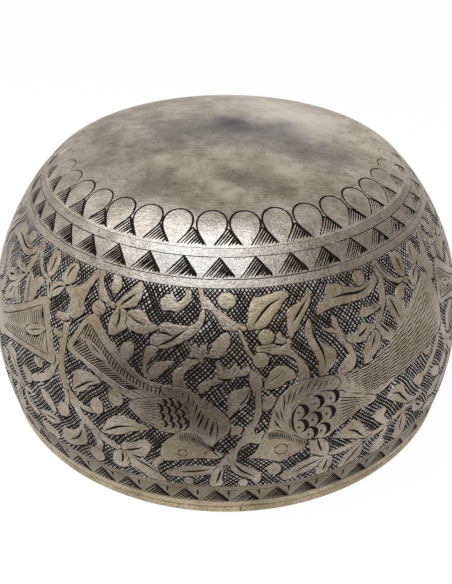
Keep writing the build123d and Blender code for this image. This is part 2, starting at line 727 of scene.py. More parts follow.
@dataclass(frozen=True)
class AgedSilver:
    """Silver alloy, planished by hand, worn satin where it is handled, cloudy and pitted with age, with
    smudges that also hold painted shade, reflection and highlight.
    """

    name: str
    bright: str
    cloud: str
    cloud_size: float  # mm across a tarnish cloud
    cloud_limits: tuple[float, float] = (0.38, 0.62)  # of the noise, from clear metal to full tarnish
    stain: str = "#6F5F48"
    stain_size: float = 2.2
    stain_limits: tuple[float, float] = (0.52, 0.75)
    stain_share: float = 0.5
    pit: str = "#4E453A"
    pit_size: float = 0.36  # mm across, of pits and specks of old polish
    pit_limits: tuple[float, float] = (0.5, 0.66)
    pit_share: float = 0.75
    scratch: str = "#DCD4C8"
    scratch_size: tuple[float, float] = (5.0, 0.35)  # mm along and across, of fine wiping marks
    scratch_limits: tuple[float, float] = (0.5, 0.75)
    scratch_share: float = 0.0
    spot_roughness: float = 0.6  # of the noise in all of these
    grain_size: float = 0.4  # mm, the sandy tooth of old polish, drawn coarse enough to show
    grain_depth: float = 0.11
    planish_size: float = 5.0  # mm across a hammer facet
    planish_depth: float = 0.03
    roughness: tuple[float, float] = (0.32, 0.5)  # on the grain's low and high places
    drift: float = 9.0  # mm by which the edges of smudges wander
    drift_size: float = 6.0
    smudges: tuple[Smudge, ...] = ()

    def build(self) -> Material:
        """Makes the material: tinted metal, with the bumps of the hammer and of the grain.

        Returns:
            The material.
        """
        material, tree, output = blank_material(self.name)
        place = add_node(tree, "ShaderNodeTexCoord").outputs["Object"]
        colour = self.colour(tree, place)
        grain = add_node(tree, "ShaderNodeTexNoise", Vector=place, Scale=1 / (self.grain_size * MM),
                         Detail=2.0, Roughness=0.6)
        facets = add_node(tree, "ShaderNodeTexVoronoi", {"feature": "SMOOTH_F1"}, Vector=place,
                          Scale=1 / (self.planish_size * MM), Smoothness=0.6)
        rough = add_node(tree, "ShaderNodeMapRange", Value=grain.outputs["Fac"], From_Min=0.3, From_Max=0.7,
                         To_Min=self.roughness[0], To_Max=self.roughness[1])
        hammered = add_node(tree, "ShaderNodeBump", Height=facets.outputs["Distance"], Strength=0.5,
                            Distance=self.planish_depth * MM)
        tooth = add_node(tree, "ShaderNodeBump", Height=grain.outputs["Fac"], Strength=0.9,
                         Distance=self.grain_depth * MM, Normal=hammered.outputs["Normal"])
        metal = add_node(tree, "ShaderNodeBsdfPrincipled", Metallic=1.0, Base_Color=colour,
                         Roughness=rough.outputs["Result"], Normal=tooth.outputs["Normal"])
        tree.links.new(metal.outputs["BSDF"], output.inputs["Surface"])
        return material

    def colour(self, tree: NodeTree, place: NodeSocket) -> NodeSocket:
        """Mixes the metal's colour from clouds, stains, pits, wiping marks and smudges, in that order.

        Args:
            tree: the material's node tree.
            place: the socket with the place on the object.

        Returns:
            The socket with the colour.
        """
        layers = [
            (place, self.cloud_size, self.cloud_limits, 1.0, self.cloud),
            (place, self.stain_size, self.stain_limits, self.stain_share, self.stain),
            (place, self.pit_size, self.pit_limits, self.pit_share, self.pit),
        ]
        if self.scratch_share > 0:
            length, breadth = (1 / (size * MM) for size in self.scratch_size)
            drawn = add_node(tree, "ShaderNodeVectorMath", {"operation": "MULTIPLY"}, _0=place,
                             _1=(length, breadth, length)).outputs["Vector"]
            layers.append((drawn, 1 / MM, self.scratch_limits, self.scratch_share, self.scratch))
        tint = linear(self.bright)
        for where, size, limits, share, colour in layers:
            cover = spots(tree, where, size, limits, share, roughness=self.spot_roughness)
            tint = add_node(tree, "ShaderNodeMix", {"data_type": "RGBA"}, Factor=cover, _6=tint,
                            _7=linear(colour)).outputs[2]
        drift = add_node(tree, "ShaderNodeTexNoise", Vector=place, Scale=1 / (self.drift_size * MM),
                         Detail=3.0).outputs["Color"]
        ragged = add_node(tree, "ShaderNodeVectorMath", {"operation": "MULTIPLY_ADD"}, _0=drift,
                          _1=(self.drift * MM,) * 3, _2=place).outputs["Vector"]
        half = Vector((self.drift * MM / 2,) * 3)
        for smudge in self.smudges:
            apart = add_node(tree, "ShaderNodeVectorMath", {"operation": "DISTANCE"}, _0=ragged,
                             _1=smudge.place + half)
            share = add_node(tree, "ShaderNodeMapRange", {"interpolation_type": "SMOOTHSTEP"},
                             Value=apart.outputs["Value"], From_Min=0.0, From_Max=smudge.reach * MM,
                             To_Min=smudge.share, To_Max=0.0)
            tint = add_node(tree, "ShaderNodeMix", {"data_type": "RGBA"}, Factor=share.outputs["Result"],
                            _6=tint, _7=linear(smudge.colour)).outputs[2]
        return tint


@dataclass(frozen=True)
class BlackedCut:
    """Silver sulphide and old polish packed into the graver's cuts: near black, hardly shiny."""

    name: str = "blacked_cut"
    deep: str = "#0B0907"
    dusty: str = "#241D15"
    speck_size: float = 0.8  # mm across a speck of dust
    speck_limits: tuple[float, float] = (0.45, 0.7)
    roughness: float = 0.7
    shine: float = 0.12

    def build(self) -> Material:
        """Makes the material.

        Returns:
            The material.
        """
        material, tree, output = blank_material(self.name)
        place = add_node(tree, "ShaderNodeTexCoord").outputs["Object"]
        dust = spots(tree, place, self.speck_size, self.speck_limits, detail=3.0)
        colour = add_node(tree, "ShaderNodeMix", {"data_type": "RGBA"}, Factor=dust, _6=linear(self.deep),
                          _7=linear(self.dusty))
        black = add_node(tree, "ShaderNodeBsdfPrincipled", Base_Color=colour.outputs[2],
                         Roughness=self.roughness, Specular_IOR_Level=self.shine)
        tree.links.new(black.outputs["BSDF"], output.inputs["Surface"])
        return material


@dataclass(frozen=True)
class OldSolder:
    """Hard silver solder gone brown at the rim's seam."""

    name: str = "old_solder"
    warm: str = "#7A6A55"
    dark: str = "#3A3026"
    spot_size: float = 1.5  # mm across a dark spot
    spot_limits: tuple[float, float] = (0.4, 0.65)
    roughness: float = 0.5

    def build(self) -> Material:
        """Makes the material.

        Returns:
            The material.
        """
        material, tree, output = blank_material(self.name)
        place = add_node(tree, "ShaderNodeTexCoord").outputs["Object"]
        aged = spots(tree, place, self.spot_size, self.spot_limits)
        colour = add_node(tree, "ShaderNodeMix", {"data_type": "RGBA"}, Factor=aged, _6=linear(self.warm),
                          _7=linear(self.dark))
        metal = add_node(tree, "ShaderNodeBsdfPrincipled", Metallic=1.0, Base_Color=colour.outputs[2],
                         Roughness=self.roughness)
        tree.links.new(metal.outputs["BSDF"], output.inputs["Surface"])
        return material


def made_object(name: str, shape: BMesh,
                finishes: Sequence[Material]) -> Object:
    """Makes an object of a shape and dresses it.

    Args:
        name: the object's name.
        shape: its mesh, in metres, which is freed.
        finishes: its materials, in the order of its faces' material numbers.

    Returns:
        The object.
    """
    mesh = bpy.data.meshes.new(name)
    shape.to_mesh(mesh)
    shape.free()
    for finish in finishes:
        mesh.materials.append(finish)
    made = bpy.data.objects.new(name, mesh)
    bpy.context.scene.collection.objects.link(made)
    return made


def finished(name: str, shape: BMesh, finishes: Sequence[Material],
             nodes: Sequence[str]) -> None:
    """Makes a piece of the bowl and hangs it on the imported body.

    Args:
        name: the piece's name.
        shape: its mesh, in metres, which is freed.
        finishes: its materials, in the order of its faces' material numbers.
        nodes: the CAD nodes that it stands for.
    """
    piece = made_object(name, shape, finishes)
    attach(piece, BODY)
    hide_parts(*nodes)
    LOG.info("%s: %d faces", name, len(piece.data.polygons))


@dataclass
class Core:
    """The raised sheet under the engraved skin: its smooth inside, and a blackened face under the cuts."""

    form: BowlForm
    skin: float = 0.2  # depth of the blackened face, a little less than that of the cuts
    turns: int = 192  # faces round the axis
    spacing: float = 1.5  # mm between the rings of faces

    def build(self) -> BMesh:
        """Spins the sheet's section round the axis.

        Returns:
            The core, with material 1 on its outer face.
        """
        form = self.form
        steps = round((form.seat - form.crown) / self.spacing)
        downs = [form.crown + (form.seat - form.crown) * step / steps for step in range(steps + 1)]
        outside = [form.section(down, self.skin) for down in downs]
        inside = [form.section(down, form.sheet) for down in reversed(downs)]
        outside[-1].y = inside[0].y = form.seat_height
        shape = bmesh.new()
        ring = [shape.verts.new((point.x * MM, 0, point.y * MM)) for point in outside + inside]
        edges = [shape.edges.new(pair) for pair in zip(ring, ring[1:])]
        bmesh.ops.spin(shape, geom=ring + edges, cent=(0, 0, 0), axis=(0, 0, 1), angle=math.tau,
                       steps=self.turns, use_merge=True)
        bmesh.ops.remove_doubles(shape, verts=shape.verts, dist=MERGE)
        bmesh.ops.recalc_face_normals(shape, faces=shape.faces)
        for face in shape.faces:
            face.smooth = True
            middle = face.calc_center_median()
            away = Vector((middle.x, middle.y, middle.z - form.belly_height * MM))
            face.material_index = 1 if face.normal.dot(away) > 0 else 0
        return shape


class Tool(Enum):
    """Widths of the graver's cuts, in millimetres."""

    LINE = 0.2
    BARB = 0.33
    HATCH = 0.4
    VEIN = 0.54


@dataclass(frozen=True)
class Strip:
    """A part of the wall, unrolled."""

    low: float  # its left end, in degrees
    high: float
    top: float  # its upper edge, as a distance down the wall
    foot: float

    def limits(self, step: float = 1.5) -> list[Point]:
        """Draws the outline, with points close enough to bend round the bowl.

        Args:
            step: degrees between the points.

        Returns:
            The outline.
        """
        count = round((self.high - self.low) / step)
        places = [self.low + (self.high - self.low) * part / count for part in range(count + 1)]
        return [(place, self.top) for place in places] + [(place, self.foot) for place in reversed(places)]

    def grid(self, clear: float, across: float, apart: float) -> list[Point]:
        """Gives a grid of free points, its rows shifted in turn.

        Args:
            clear: distance of the first and last rows from the edges.
            across: degrees between the points of a row.
            apart: distance between the rows, about.

        Returns:
            The points.
        """
        first = self.top + clear
        last = self.foot - clear
        points: list[Point] = []
        count = max(1, round((last - first) / apart))
        for row in range(count + 1):
            down = first + (last - first) * row / count
            place = self.low + across * (0.25 + 0.5 * (row % 2))
            while place < self.high:
                points.append((place, down))
                place += across
        return points

    def line(self, down: float, hand: random.Random) -> Cuts:
        """Draws a thin line along the strip, in several strokes that nearly meet.

        Args:
            down: the line's distance down the wall.
            hand: the hand's small errors.

        Returns:
            The outline of each stroke.
        """
        parts = 12
        steps = 20
        gap = 0.4
        error = 0.03
        reach = (self.high - self.low) / parts
        cuts: Cuts = []
        for part in range(parts):
            start = self.low + reach * part + gap / 2
            path = [
                (start + (reach - gap) * step / steps, down + hand.uniform(-error, error))
                for step in range(steps + 1)
            ]
            cuts.append(ribbon(path, Tool.LINE.value * hand.uniform(0.8, 1.1), (0.05, 0.05)))
        return cuts


@dataclass(frozen=True)
class HatchedTriangle:
    """A triangle of slanting strokes, which run from its foot up to its right side and close up there."""

    apex: float  # distance down the wall
    foot: float
    half_width: float  # degrees
    strokes: int
    width: float = 0.52
    side_width: float = 0.65
    weight: float = 0.8  # of the first stroke's width
    weight_gain: float = 0.4  # from there to the right side
    slip: float = 0.12  # error of the strokes' feet across
    overrun: tuple[float, float] = (-0.3, 0.05)  # and down
    side_start: float = -0.05  # of the right side's cut, across from the apex
    side_end: tuple[float, float] = (-0.3, -0.15)  # across and down from the right foot

    def cuts(self, middle: float, hand: random.Random) -> Cuts:
        """Draws the strokes.

        Args:
            middle: place of the apex, in degrees.
            hand: the hand's small errors.

        Returns:
            The outline of each stroke.
        """
        cuts: Cuts = []
        for number in range(self.strokes):
            part = number / self.strokes
            start = Vector((middle - self.half_width + 2 * self.half_width * part, self.foot))
            top = Vector((middle + self.half_width * part, self.apex + (self.foot - self.apex) * part))
            start.x += hand.uniform(-self.slip, self.slip)
            start.y += hand.uniform(*self.overrun)
            path = [tuple(start.lerp(top, step / 4)) for step in range(5)]
            cuts.append(ribbon(path, self.width * (self.weight + self.weight_gain * part), (0.5, 0.0), 0.5))
        across, down = self.side_end
        end = (middle + self.half_width + across, self.foot + down)
        side = [(middle + self.side_start, self.apex), end]
        cuts.append(ribbon(flow(side, step=0.6), self.side_width * hand.uniform(0.8, 1.2), (0.2, 0.1), 0.4))
        return cuts


def places_round(count: int, offset: float) -> list[float]:
    """Gives the places of even marks all round the bowl, from the back on, one of them at offset."""
    return [offset + FULL_TURN / count * (number - count // 2) for number in range(count)]


@dataclass
class Border:
    """A border all round the bowl: hatched triangles between two thin lines."""

    form: BowlForm
    top: float
    foot: float | None  # the sheet's lower edge, if it isn't given
    lines: tuple[float, float]
    count: int
    offset: float  # place of one apex, in degrees
    triangle: HatchedTriangle
    seed: int

    def marks(self, middle: float, hand: random.Random) -> Cuts:
        """Draws what stands at one place of the border."""
        return self.triangle.cuts(middle, hand)

    def draw(self) -> Drawing:
        """Draws the border, unrolled.

        Returns:
            The drawing.
        """
        hand = random.Random(self.seed)
        middles = places_round(self.count, self.offset)
        low = middles[0] - FULL_TURN / self.count / 2
        strip = Strip(low, low + FULL_TURN, self.top, self.form.seat if self.foot is None else self.foot)
        drawing = Drawing(strip.limits(), bends=strip.grid(0.6, 2.0, 1.0))
        for line in self.lines:
            drawing.ground.extend(strip.line(line, hand))
        for middle in middles:
            drawing.ground.extend(self.marks(middle, hand))
        return drawing

    def build(self) -> BMesh:
        """Cuts the border and wraps it round the bowl."""
        return closed_round(wrapped(self.draw().cut(open_sides=True), self.form.on_strip))


@dataclass
class ShoulderBorder(Border):
    """The border above the frieze, with plain bands on both sides."""

    top: float = -7.4
    foot: float | None = -0.07
    lines: tuple[float, float] = (-5.8, -1.68)
    count: int = 41
    offset: float = -1.5
    triangle: HatchedTriangle = HatchedTriangle(-5.7, -1.95, 3.85, 10)
    seed: int = 11


@dataclass
class Crown:
    """The plain domed base and the ring of petals round it, with hatched gaps."""

    form: BowlForm
    foot: float = -7.5
    count: int = 38
    offset: float = -4.1  # place of one petal's middle, in degrees
    petal: tuple[Point, ...] = (  # its right half, in degrees from the middle and distances down the wall
        (1.1, -7.95), (2.2, -9.1), (3.45, -10.4), (4.1, -11.5), (4.35, -12.6), (4.0, -13.8), (3.0, -14.8),
        (1.55, -15.4), (0.0, -15.6),
    )
    gap: HatchedTriangle = HatchedTriangle(-11.45, -7.95, 3.65, 8)
    outline_width: float = 0.46
    rubbed: tuple[float, float] = (56.0, 82.0)  # degrees from the front between which the outlines grow thin
    rubbed_share: float = 0.36  # of their width that is left there
    gap_shift: float = -0.1  # of the hatched gaps, from halfway between the petals
    lean: float = 0.2  # error of a petal across
    rise: tuple[float, float] = (-0.2, 0.15)  # and of its height
    edge_step: int = 2  # degrees between the points of the edge
    spacing: float = 1.6  # mm between the rings of free points
    seed: int = 12

    def plan(self, point: Point) -> Point:
        """Lays out a point of the wall on the flattened base.

        Args:
            point: degrees and a distance down the wall.

        Returns:
            The point's plan.
        """
        reach = point[1] - self.form.crown
        turn = math.radians(point[0])
        return reach * math.sin(turn), -reach * math.cos(turn)

    def build(self) -> BMesh:
        """Draws the base, cuts it and wraps it.

        Returns:
            The base, on the bowl.
        """
        hand = random.Random(self.seed)
        drawing = Drawing([self.plan((place, self.foot)) for place in range(-180, 180, self.edge_step)])
        reach = self.foot - self.form.crown
        rings = round(reach / self.spacing)
        for ring in range(rings):
            count = max(1, round(math.tau * ring))
            down = self.form.crown + reach * ring / rings
            turns = (FULL_TURN * (number + 0.5 * (ring % 2)) / count for number in range(count))
            drawing.bends.extend(self.plan((turn, down)) for turn in turns)
        pitch = FULL_TURN / self.count
        for middle in places_round(self.count, self.offset):
            drawing.ground.append(self.petal_outline(middle, hand))
            for cut in self.gap.cuts(middle + pitch / 2 + self.gap_shift, hand):
                drawing.ground.append(turned_left([self.plan(point) for point in cut]))
        skin = wrapped(drawing.cut(), self.form.on_crown)
        bmesh.ops.reverse_faces(skin, faces=skin.faces)
        return skin

    def petal_outline(self, middle: float, hand: random.Random) -> list[Point]:
        """Draws one petal's outline as a cut that is heaviest round its head.

        Args:
            middle: place of the petal's middle, in degrees.
            hand: the hand's small errors.

        Returns:
            The cut's outline, on the flattened base.
        """
        middle_cut = middle + hand.uniform(-self.lean, self.lean)
        rise = hand.uniform(*self.rise)
        length = 8  # of a petal, about, over which it grows or shrinks
        half = [(x, y + rise * (self.foot - y) / length) for x, y in self.petal]
        loop = [(middle_cut - x, y) for x, y in half]
        loop += [(middle_cut + x, y) for x, y in reversed(half[:-1])]
        path = [self.plan(point) for point in flow(loop, step=0.6)]
        start, end = self.rubbed
        wear = min(1.0, max(0.0, (abs(middle) - start) / (end - start)))
        width = self.outline_width * hand.uniform(0.85, 1.1) * (1 - wear * (1 - self.rubbed_share))
        return ribbon(path, width, (0.25, 0.25), 0.5)


@dataclass
class RimBorder(Border):
    """The toothed border between the frieze and the rim, with a plain strip below it painted bright as a
    floor reflection.
    """

    top: float = 42.72
    foot: float | None = None
    lines: tuple[float, float] = (44.02, 48.4)
    count: int = 60
    offset: float = -2.0
    triangle: HatchedTriangle = HatchedTriangle(44.2, 48.15, 2.8, 8, 0.5, 0.8)
    tick: tuple[float, float] = (44.15, 46.1)  # top and foot of the stroke between two teeth
    tick_width: float = 0.55
    seam: tuple[Path, ...] = (  # cracks over the joint of the hoop, up from the sheet's lower edge
        ((3.2, -1.3), (3.3, -0.2)), ((3.4, -0.2), (5.0, -0.28), (6.8, -0.24), (8.6, -0.16)),
    )
    seed: int = 13

    def marks(self, middle: float, hand: random.Random) -> Cuts:
        """Draws a tooth and the stroke to its right.

        Args:
            middle: place of the tooth's apex, in degrees.
            hand: the hand's small errors.

        Returns:
            The outline of each stroke.
        """
        cuts = super().marks(middle, hand)
        top, foot = self.tick
        place = middle + FULL_TURN / self.count / 2 - self.tick_width
        end = (place + hand.uniform(-0.2, 0.2), foot + hand.uniform(-0.3, 0.1))
        cuts.append(ribbon(flow([(place, top), end]), self.tick_width, (0.15, 0.75), 0.3))
        return cuts

    def draw(self) -> Drawing:
        """Draws the border, unrolled, with the cracks.

        Returns:
            The drawing.
        """
        drawing = super().draw()
        for path in self.seam:
            crack = [(x, self.form.seat + y) for x, y in path]
            drawing.ground.append(ribbon(flow(crack), Tool.LINE.value * 1.6, (0.1, 0.3)))
        return drawing

    def build(self) -> BMesh:
        """Cuts the border, wraps it round the bowl and gives the strip below it a painted reflection.

        Returns:
            The border, with material 2, painted bright as a reflection of the floor, on the strip below it.
        """
        skin = super().build()
        limit = self.form.on_strip(Vector((0, self.lines[1], 0))).z
        # The strip below the lower line gets material 2, painted bright as a reflection of the white floor
        for face in skin.faces:
            if face.material_index == 0 and face.calc_center_median().z < limit:
                face.material_index = 2
        return skin


@dataclass(frozen=True)
class Blob:
    """A motif with a free outline, drawn smooth through a few points, and cuts along a few paths."""

    points: Path
    veins: tuple[Path, ...] = ()
    width: float = Tool.VEIN.value

    def motif(self) -> Motif:
        """Draws the motif."""
        cuts = [ribbon(flow(vein), self.width, (0.3, 0.4)) for vein in self.veins]
        return Motif(flow(self.points, closed=True), cuts)


@dataclass(frozen=True)
class Bud:
    """A round or oval bud."""

    x: float
    y: float
    radius: float  # across, in degrees
    height: float  # half of it, down the wall

    def motif(self) -> Motif:
        """Draws the bud.

        Returns:
            The bud, without cuts.
        """
        steps = 20
        turns = [math.tau * step / steps for step in range(steps)]
        return Motif([
            (self.x + self.radius * math.cos(turn), self.y + self.height * math.sin(turn)) for turn in turns
        ])


@dataclass(frozen=True)
class Stem:
    """A plain stem along a few points."""

    points: Path
    width: float = 1.1

    def motif(self) -> Motif:
        """Draws the stem."""
        return Motif(ribbon(flow(self.points, step=0.7), self.width, (0.1, 0.1), 0.7))


def part_way(start: Point, end: Point, part: float) -> Point:
    """Gives the point a share of the way from start to end."""
    return tuple(Vector(start).lerp(Vector(end), part))


def point_along(path: Path, part: float) -> Point:
    """Gives a point of a path.

    Args:
        path: the points in order.
        part: the share of the way along it, counted by its points.

    Returns:
        The point.
    """
    place = part * (len(path) - 1)
    first = min(int(place), len(path) - 2)
    return part_way(path[first], path[first + 1], place - first)


def comb(path: Path, count: int, first: Point, last: Point) -> Cuts:
    """Draws a row of short strokes side by side along a path.

    Args:
        path: the line that the strokes start on.
        count: how many there are.
        first: how far the first one runs, across and down.
        last: how far the last one runs.

    Returns:
        The outline of each stroke.
    """
    cuts: Cuts = []
    for number in range(count):
        part = number / (count - 1)
        root = point_along(path, part)
        lean = part_way(first, last, part)
        stroke = [(root[0] + lean[0] * share, root[1] + lean[1] * share) for share in (0.0, 0.5, 1.0)]
        cuts.append(ribbon(stroke, Tool.LINE.value * 1.4, (0.1, 0.5), 0.5))
    return cuts


def ring_cut(x: float, y: float, radius: float) -> Cuts:
    """Draws an eye: a thin ring, cut as two half turns that nearly meet.

    Args:
        x: its middle across.
        y: its middle down.
        radius: its radius.

    Returns:
        The outline of each half.
    """
    cuts: Cuts = []
    for first in (0.1, math.pi + 0.1):
        turns = [first + (math.pi - 0.15) * step / 8 for step in range(9)]
        path = [(x + radius * math.cos(turn), y + radius * math.sin(turn)) for turn in turns]
        cuts.append(ribbon(path, Tool.LINE.value * 1.3, (0.1, 0.1), 0.5))
    return cuts


def scale_cuts(x: float, y: float, radius: float, weight: float) -> Cuts:
    """Draws a feather scale: a crescent round its right side, and a small wedge inside it.

    Args:
        x: its middle across.
        y: its middle down.
        radius: its radius.
        weight: the crescent's width, as a share of the radius.

    Returns:
        The outlines of the crescent and the wedge.
    """
    turns = [math.radians(-100 + 175 * step / 12) for step in range(13)]
    path = [(x + radius * math.cos(turn), y + radius * math.sin(turn)) for turn in turns]
    size = radius * 0.22
    wedge = [(x - size, y + size), (x - size * 0.2, y - size), (x + size, y + size * 0.8)]
    return [ribbon(path, radius * weight, (0.4, 0.4), 0.2), turned_left(wedge)]


def strokes(feathers: Sequence[tuple[float, Path]]) -> Cuts:
    """Draws loose feather strokes, each of its own width, which swell and thin out along their paths."""
    return [ribbon(flow(path, step=0.5), width, (0.4, 0.5), 0.3) for width, path in feathers]


@dataclass(frozen=True)
class BarbedTail:
    """A tail with plain strips along its edges, barbs that sweep to them from a spine, and a leaf."""

    outline: Path
    strips: tuple[Path, Path, Path]  # along the upper edge, the lower edge and the end
    spine: Path
    leaf: Blob
    barbs: int
    first: float  # place of the first barb, as a share of the way along the spine
    reach: float  # from there to the last
    sweeps: tuple[float, float]  # how far along their strips the upper and lower barbs lean
    lasts: tuple[float, float]  # where the upper and lower barbs stop
    shares: tuple[float, ...]  # of a barb's points, on the way from the spine to the strip
    width: float
    taper: tuple[float, float]
    strip_width: float

    def motifs(self) -> list[Motif]:
        """Draws the tail.

        Returns:
            The tail and its leaf.
        """
        cuts = [ribbon(flow(strip, step=0.8), self.strip_width, (0.05, 0.05)) for strip in self.strips]
        for number in range(self.barbs):
            part = self.first + self.reach * number / (self.barbs - 1)
            root = point_along(self.spine, part)
            for strip, sweep, last in zip(self.strips, self.sweeps, self.lasts):
                if part > last:
                    continue
                end = point_along(strip, min(1.0, max(0.0, part + sweep)))
                barb = [part_way(root, end, share) for share in self.shares]
                cuts.append(ribbon(barb, self.width, self.taper, 0.5))
        return [Motif(flow(self.outline, closed=True), cuts), self.leaf.motif()]


@dataclass(frozen=True)
class WavedTail:
    """A long tail of waved lines that fan out from the back."""

    outline: Path
    root: tuple[Point, Point]  # where the upper and lower lines start
    end: tuple[Point, Point]
    sag: tuple[float, float]  # of the upper and lower lines
    waves: int
    length: float
    height: float
    shift: float  # of the waves from line to line, in radians

    def motifs(self) -> list[Motif]:
        """Draws the tail.

        Returns:
            The tail alone.
        """
        cuts: Cuts = []
        for number in range(self.waves):
            part = number / (self.waves - 1)
            start = part_way(*self.root, part)
            end = part_way(*self.end, part)
            bend = part_way(start, end, 0.5)
            bend = (bend[0], bend[1] + self.sag[0] + (self.sag[1] - self.sag[0]) * part)
            waved = [
                (x, y + self.height * math.sin(math.tau * place / 4 + number * self.shift))
                for place, (x, y) in enumerate(flow([start, bend, end], step=self.length / 4))
            ]
            cuts.append(ribbon(waved, Tool.LINE.value * 1.5, (0.1, 0.1)))
        return [Motif(flow(self.outline, closed=True), cuts)]


@dataclass(frozen=True)
class LeftBird:
    """The bird whose barbed tail runs up to the left, head down beside the tree."""

    tail: BarbedTail = BarbedTail(
        outline=(
            (-28.6, 8.8), (-26, 11), (-24, 12.7), (-21.8, 14.4), (-19.6, 16.2), (-17, 18), (-14.4, 18.9),
            (-10.6, 19.5), (-10.8, 21.8), (-15, 22.7), (-17.8, 23.3), (-20.4, 22.6), (-23, 21.7),
            (-26, 20.4), (-29, 19.1), (-32, 18.3), (-34.2, 17.4), (-33.8, 15.6), (-32.6, 13.4),
            (-31.8, 11.6), (-30.6, 9.9),
        ),
        strips=(
            ((-29.8, 10.7), (-26.8, 13), (-23.6, 15.5), (-20, 17.8), (-16.2, 19.4), (-11.6, 20.2)),
            ((-32.9, 16.9), (-29.6, 17.9), (-26.2, 19), (-22.6, 20.3), (-18.8, 21.5), (-14.6, 22.5)),
            ((-29.9, 10.9), (-31.2, 13.2), (-32.7, 16.7)),
        ),
        spine=((-31.2, 13.6), (-28, 15.4), (-24.6, 17.2), (-21, 19.1), (-17, 20.6), (-12.4, 21.5)),
        leaf=Blob(
            ((-30, 14), (-28.4, 14.1), (-26.6, 14.9), (-24.8, 16.2), (-23.6, 17.5), (-25.4, 17.1),
             (-27.4, 16.5), (-29, 15.4)),
            (((-28.4, 14.8), (-26.9, 15.5), (-25.6, 16.4)),), 0.34,
        ),
        barbs=28, first=0.03, reach=0.96, sweeps=(-0.035, -0.075), lasts=(1.0, 0.86),
        shares=(0.1, 0.4, 0.7, 0.95), width=Tool.BARB.value, taper=(0.3, 0.1),
        strip_width=Tool.LINE.value * 1.4,
    )
    breast: Path = (
        (-12.4, 19.7), (-10, 19.3), (-8, 19.3), (-6.2, 20), (-4.4, 21.1), (-2.4, 22.4), (-0.6, 23.9),
        (0.5, 25.4), (0.8, 27), (0.2, 28.6), (-1.2, 29.8), (-2.4, 31.4), (-3.2, 32.6), (-5.4, 31.8),
        (-7.6, 30.6), (-9.4, 30), (-8.2, 28.4), (-7.2, 26.8), (-6.9, 25), (-7.4, 23.4), (-8.6, 22.2),
        (-11, 21.6),
    )
    feathers: tuple[tuple[float, Path], ...] = (
        (0.26, ((-9.4, 19.8), (-9.4, 20.6))), (0.28, ((-8.2, 19.9), (-8.2, 21.4))),
        (0.32, ((-7.1, 20.2), (-7, 22.4))), (0.3, ((-6, 21.5), (-6.2, 22.9))),
        (0.38, ((-5.3, 22.1), (-5.9, 24.7))), (0.44, ((-4.6, 23.4), (-5.6, 26.2))),
        (0.56, ((-4.1, 24.4), (-5.3, 27.6))), (0.44, ((-3.2, 25), (-4, 28))),
        (0.56, ((-2.3, 25.8), (-3, 29.4))), (0.32, ((-2, 25), (-1.6, 26.8), (-1.6, 28.7), (-2, 30.6))),
        (0.26, ((-5, 20.6), (-4.4, 21.4))), (0.26, ((-3.8, 21.7), (-3.2, 22.5))),
    )
    wing: Path = (
        (-18.6, 24.8), (-17.6, 23.4), (-15.6, 22.6), (-13.2, 22), (-10.6, 21.7), (-8.6, 22.2), (-7.5, 23.4),
        (-6.9, 25), (-7.2, 26.8), (-8.2, 28.5), (-10, 29.2), (-12.4, 28.9), (-14.6, 27.9), (-16.8, 26.8),
    )
    wing_tip: Point = (-19.5, 25)
    wing_root: tuple[Point, Point] = ((-12.4, 22.3), (-13.2, 28.2))
    quills: int = 9
    quill_start: float = 0.36  # as a share of the way from the wing's tip to its root
    shoulder: tuple[Point, ...] = (
        (-12.2, 22.8), (-10.9, 22.6), (-9.4, 22.9), (-12.9, 24.1), (-11.4, 24.3), (-10.1, 24), (-8.7, 24.6),
        (-12.6, 25.8), (-11, 25.9), (-9.5, 25.7), (-8.2, 26.2), (-12, 27.4), (-10.6, 27.3), (-9.2, 27.4),
    )
    scale_radius: float = 0.85
    scale_weight: float = 0.82
    head: Path = (
        (-12.4, 34.8), (-12, 32.6), (-11, 30.9), (-10, 29.9), (-8.9, 28.9), (-7.6, 28.4), (-6.4, 28.8),
        (-5, 29.7), (-3.4, 30.9), (-2.4, 32.6), (-1.4, 33), (-0.5, 33.8), (-1.4, 34.6), (-3, 34.7),
        (-4.6, 34.7), (-6.4, 35), (-8, 35.5), (-10, 36.1), (-11.8, 36.4),
    )
    beak: Path = ((-4.2, 33.9), (-3.6, 33), (-2.6, 32.7))
    eye: tuple[float, float, float] = (-8.1, 33.8, 0.85)
    comb_line: Path = ((-8.6, 28.9), (-7.4, 28.7), (-6.2, 29.1), (-4.8, 30), (-3.4, 31.1), (-2.7, 32.2))

    def motifs(self) -> list[Motif]:
        """Draws the bird's pieces in order."""
        return [*self.tail.motifs(), self.breast_motif(), self.wing_motif(), self.head_motif()]

    def breast_motif(self) -> Motif:
        """Draws the breast with its loose feathers."""
        return Motif(flow(self.breast, closed=True), strokes(self.feathers))

    def wing_motif(self) -> Motif:
        """Draws the wing: long quills from its tip, then small dark scales on the shoulder.

        Returns:
            The wing.
        """
        cuts: Cuts = []
        for number in range(self.quills):
            end = part_way(*self.wing_root, number / (self.quills - 1))
            start = part_way(self.wing_tip, end, self.quill_start)
            cuts.append(ribbon(flow([start, end], step=0.6), Tool.LINE.value * 1.2, (0.3, 0.1)))
        for x, y in self.shoulder:
            cuts.extend(scale_cuts(x, y, self.scale_radius, self.scale_weight))
        return Motif(flow(self.wing, closed=True), cuts)

    def head_motif(self) -> Motif:
        """Draws the head with its eye and beak, and the comb of short feathers that hangs over it.

        Returns:
            The head.
        """
        cuts = ring_cut(*self.eye) + comb(self.comb_line, 16, (0.1, 2.0), (1.5, 2.3))
        cuts.append(ribbon(flow(self.beak), Tool.LINE.value * 1.2))
        return Motif(flow(self.head, closed=True), cuts)


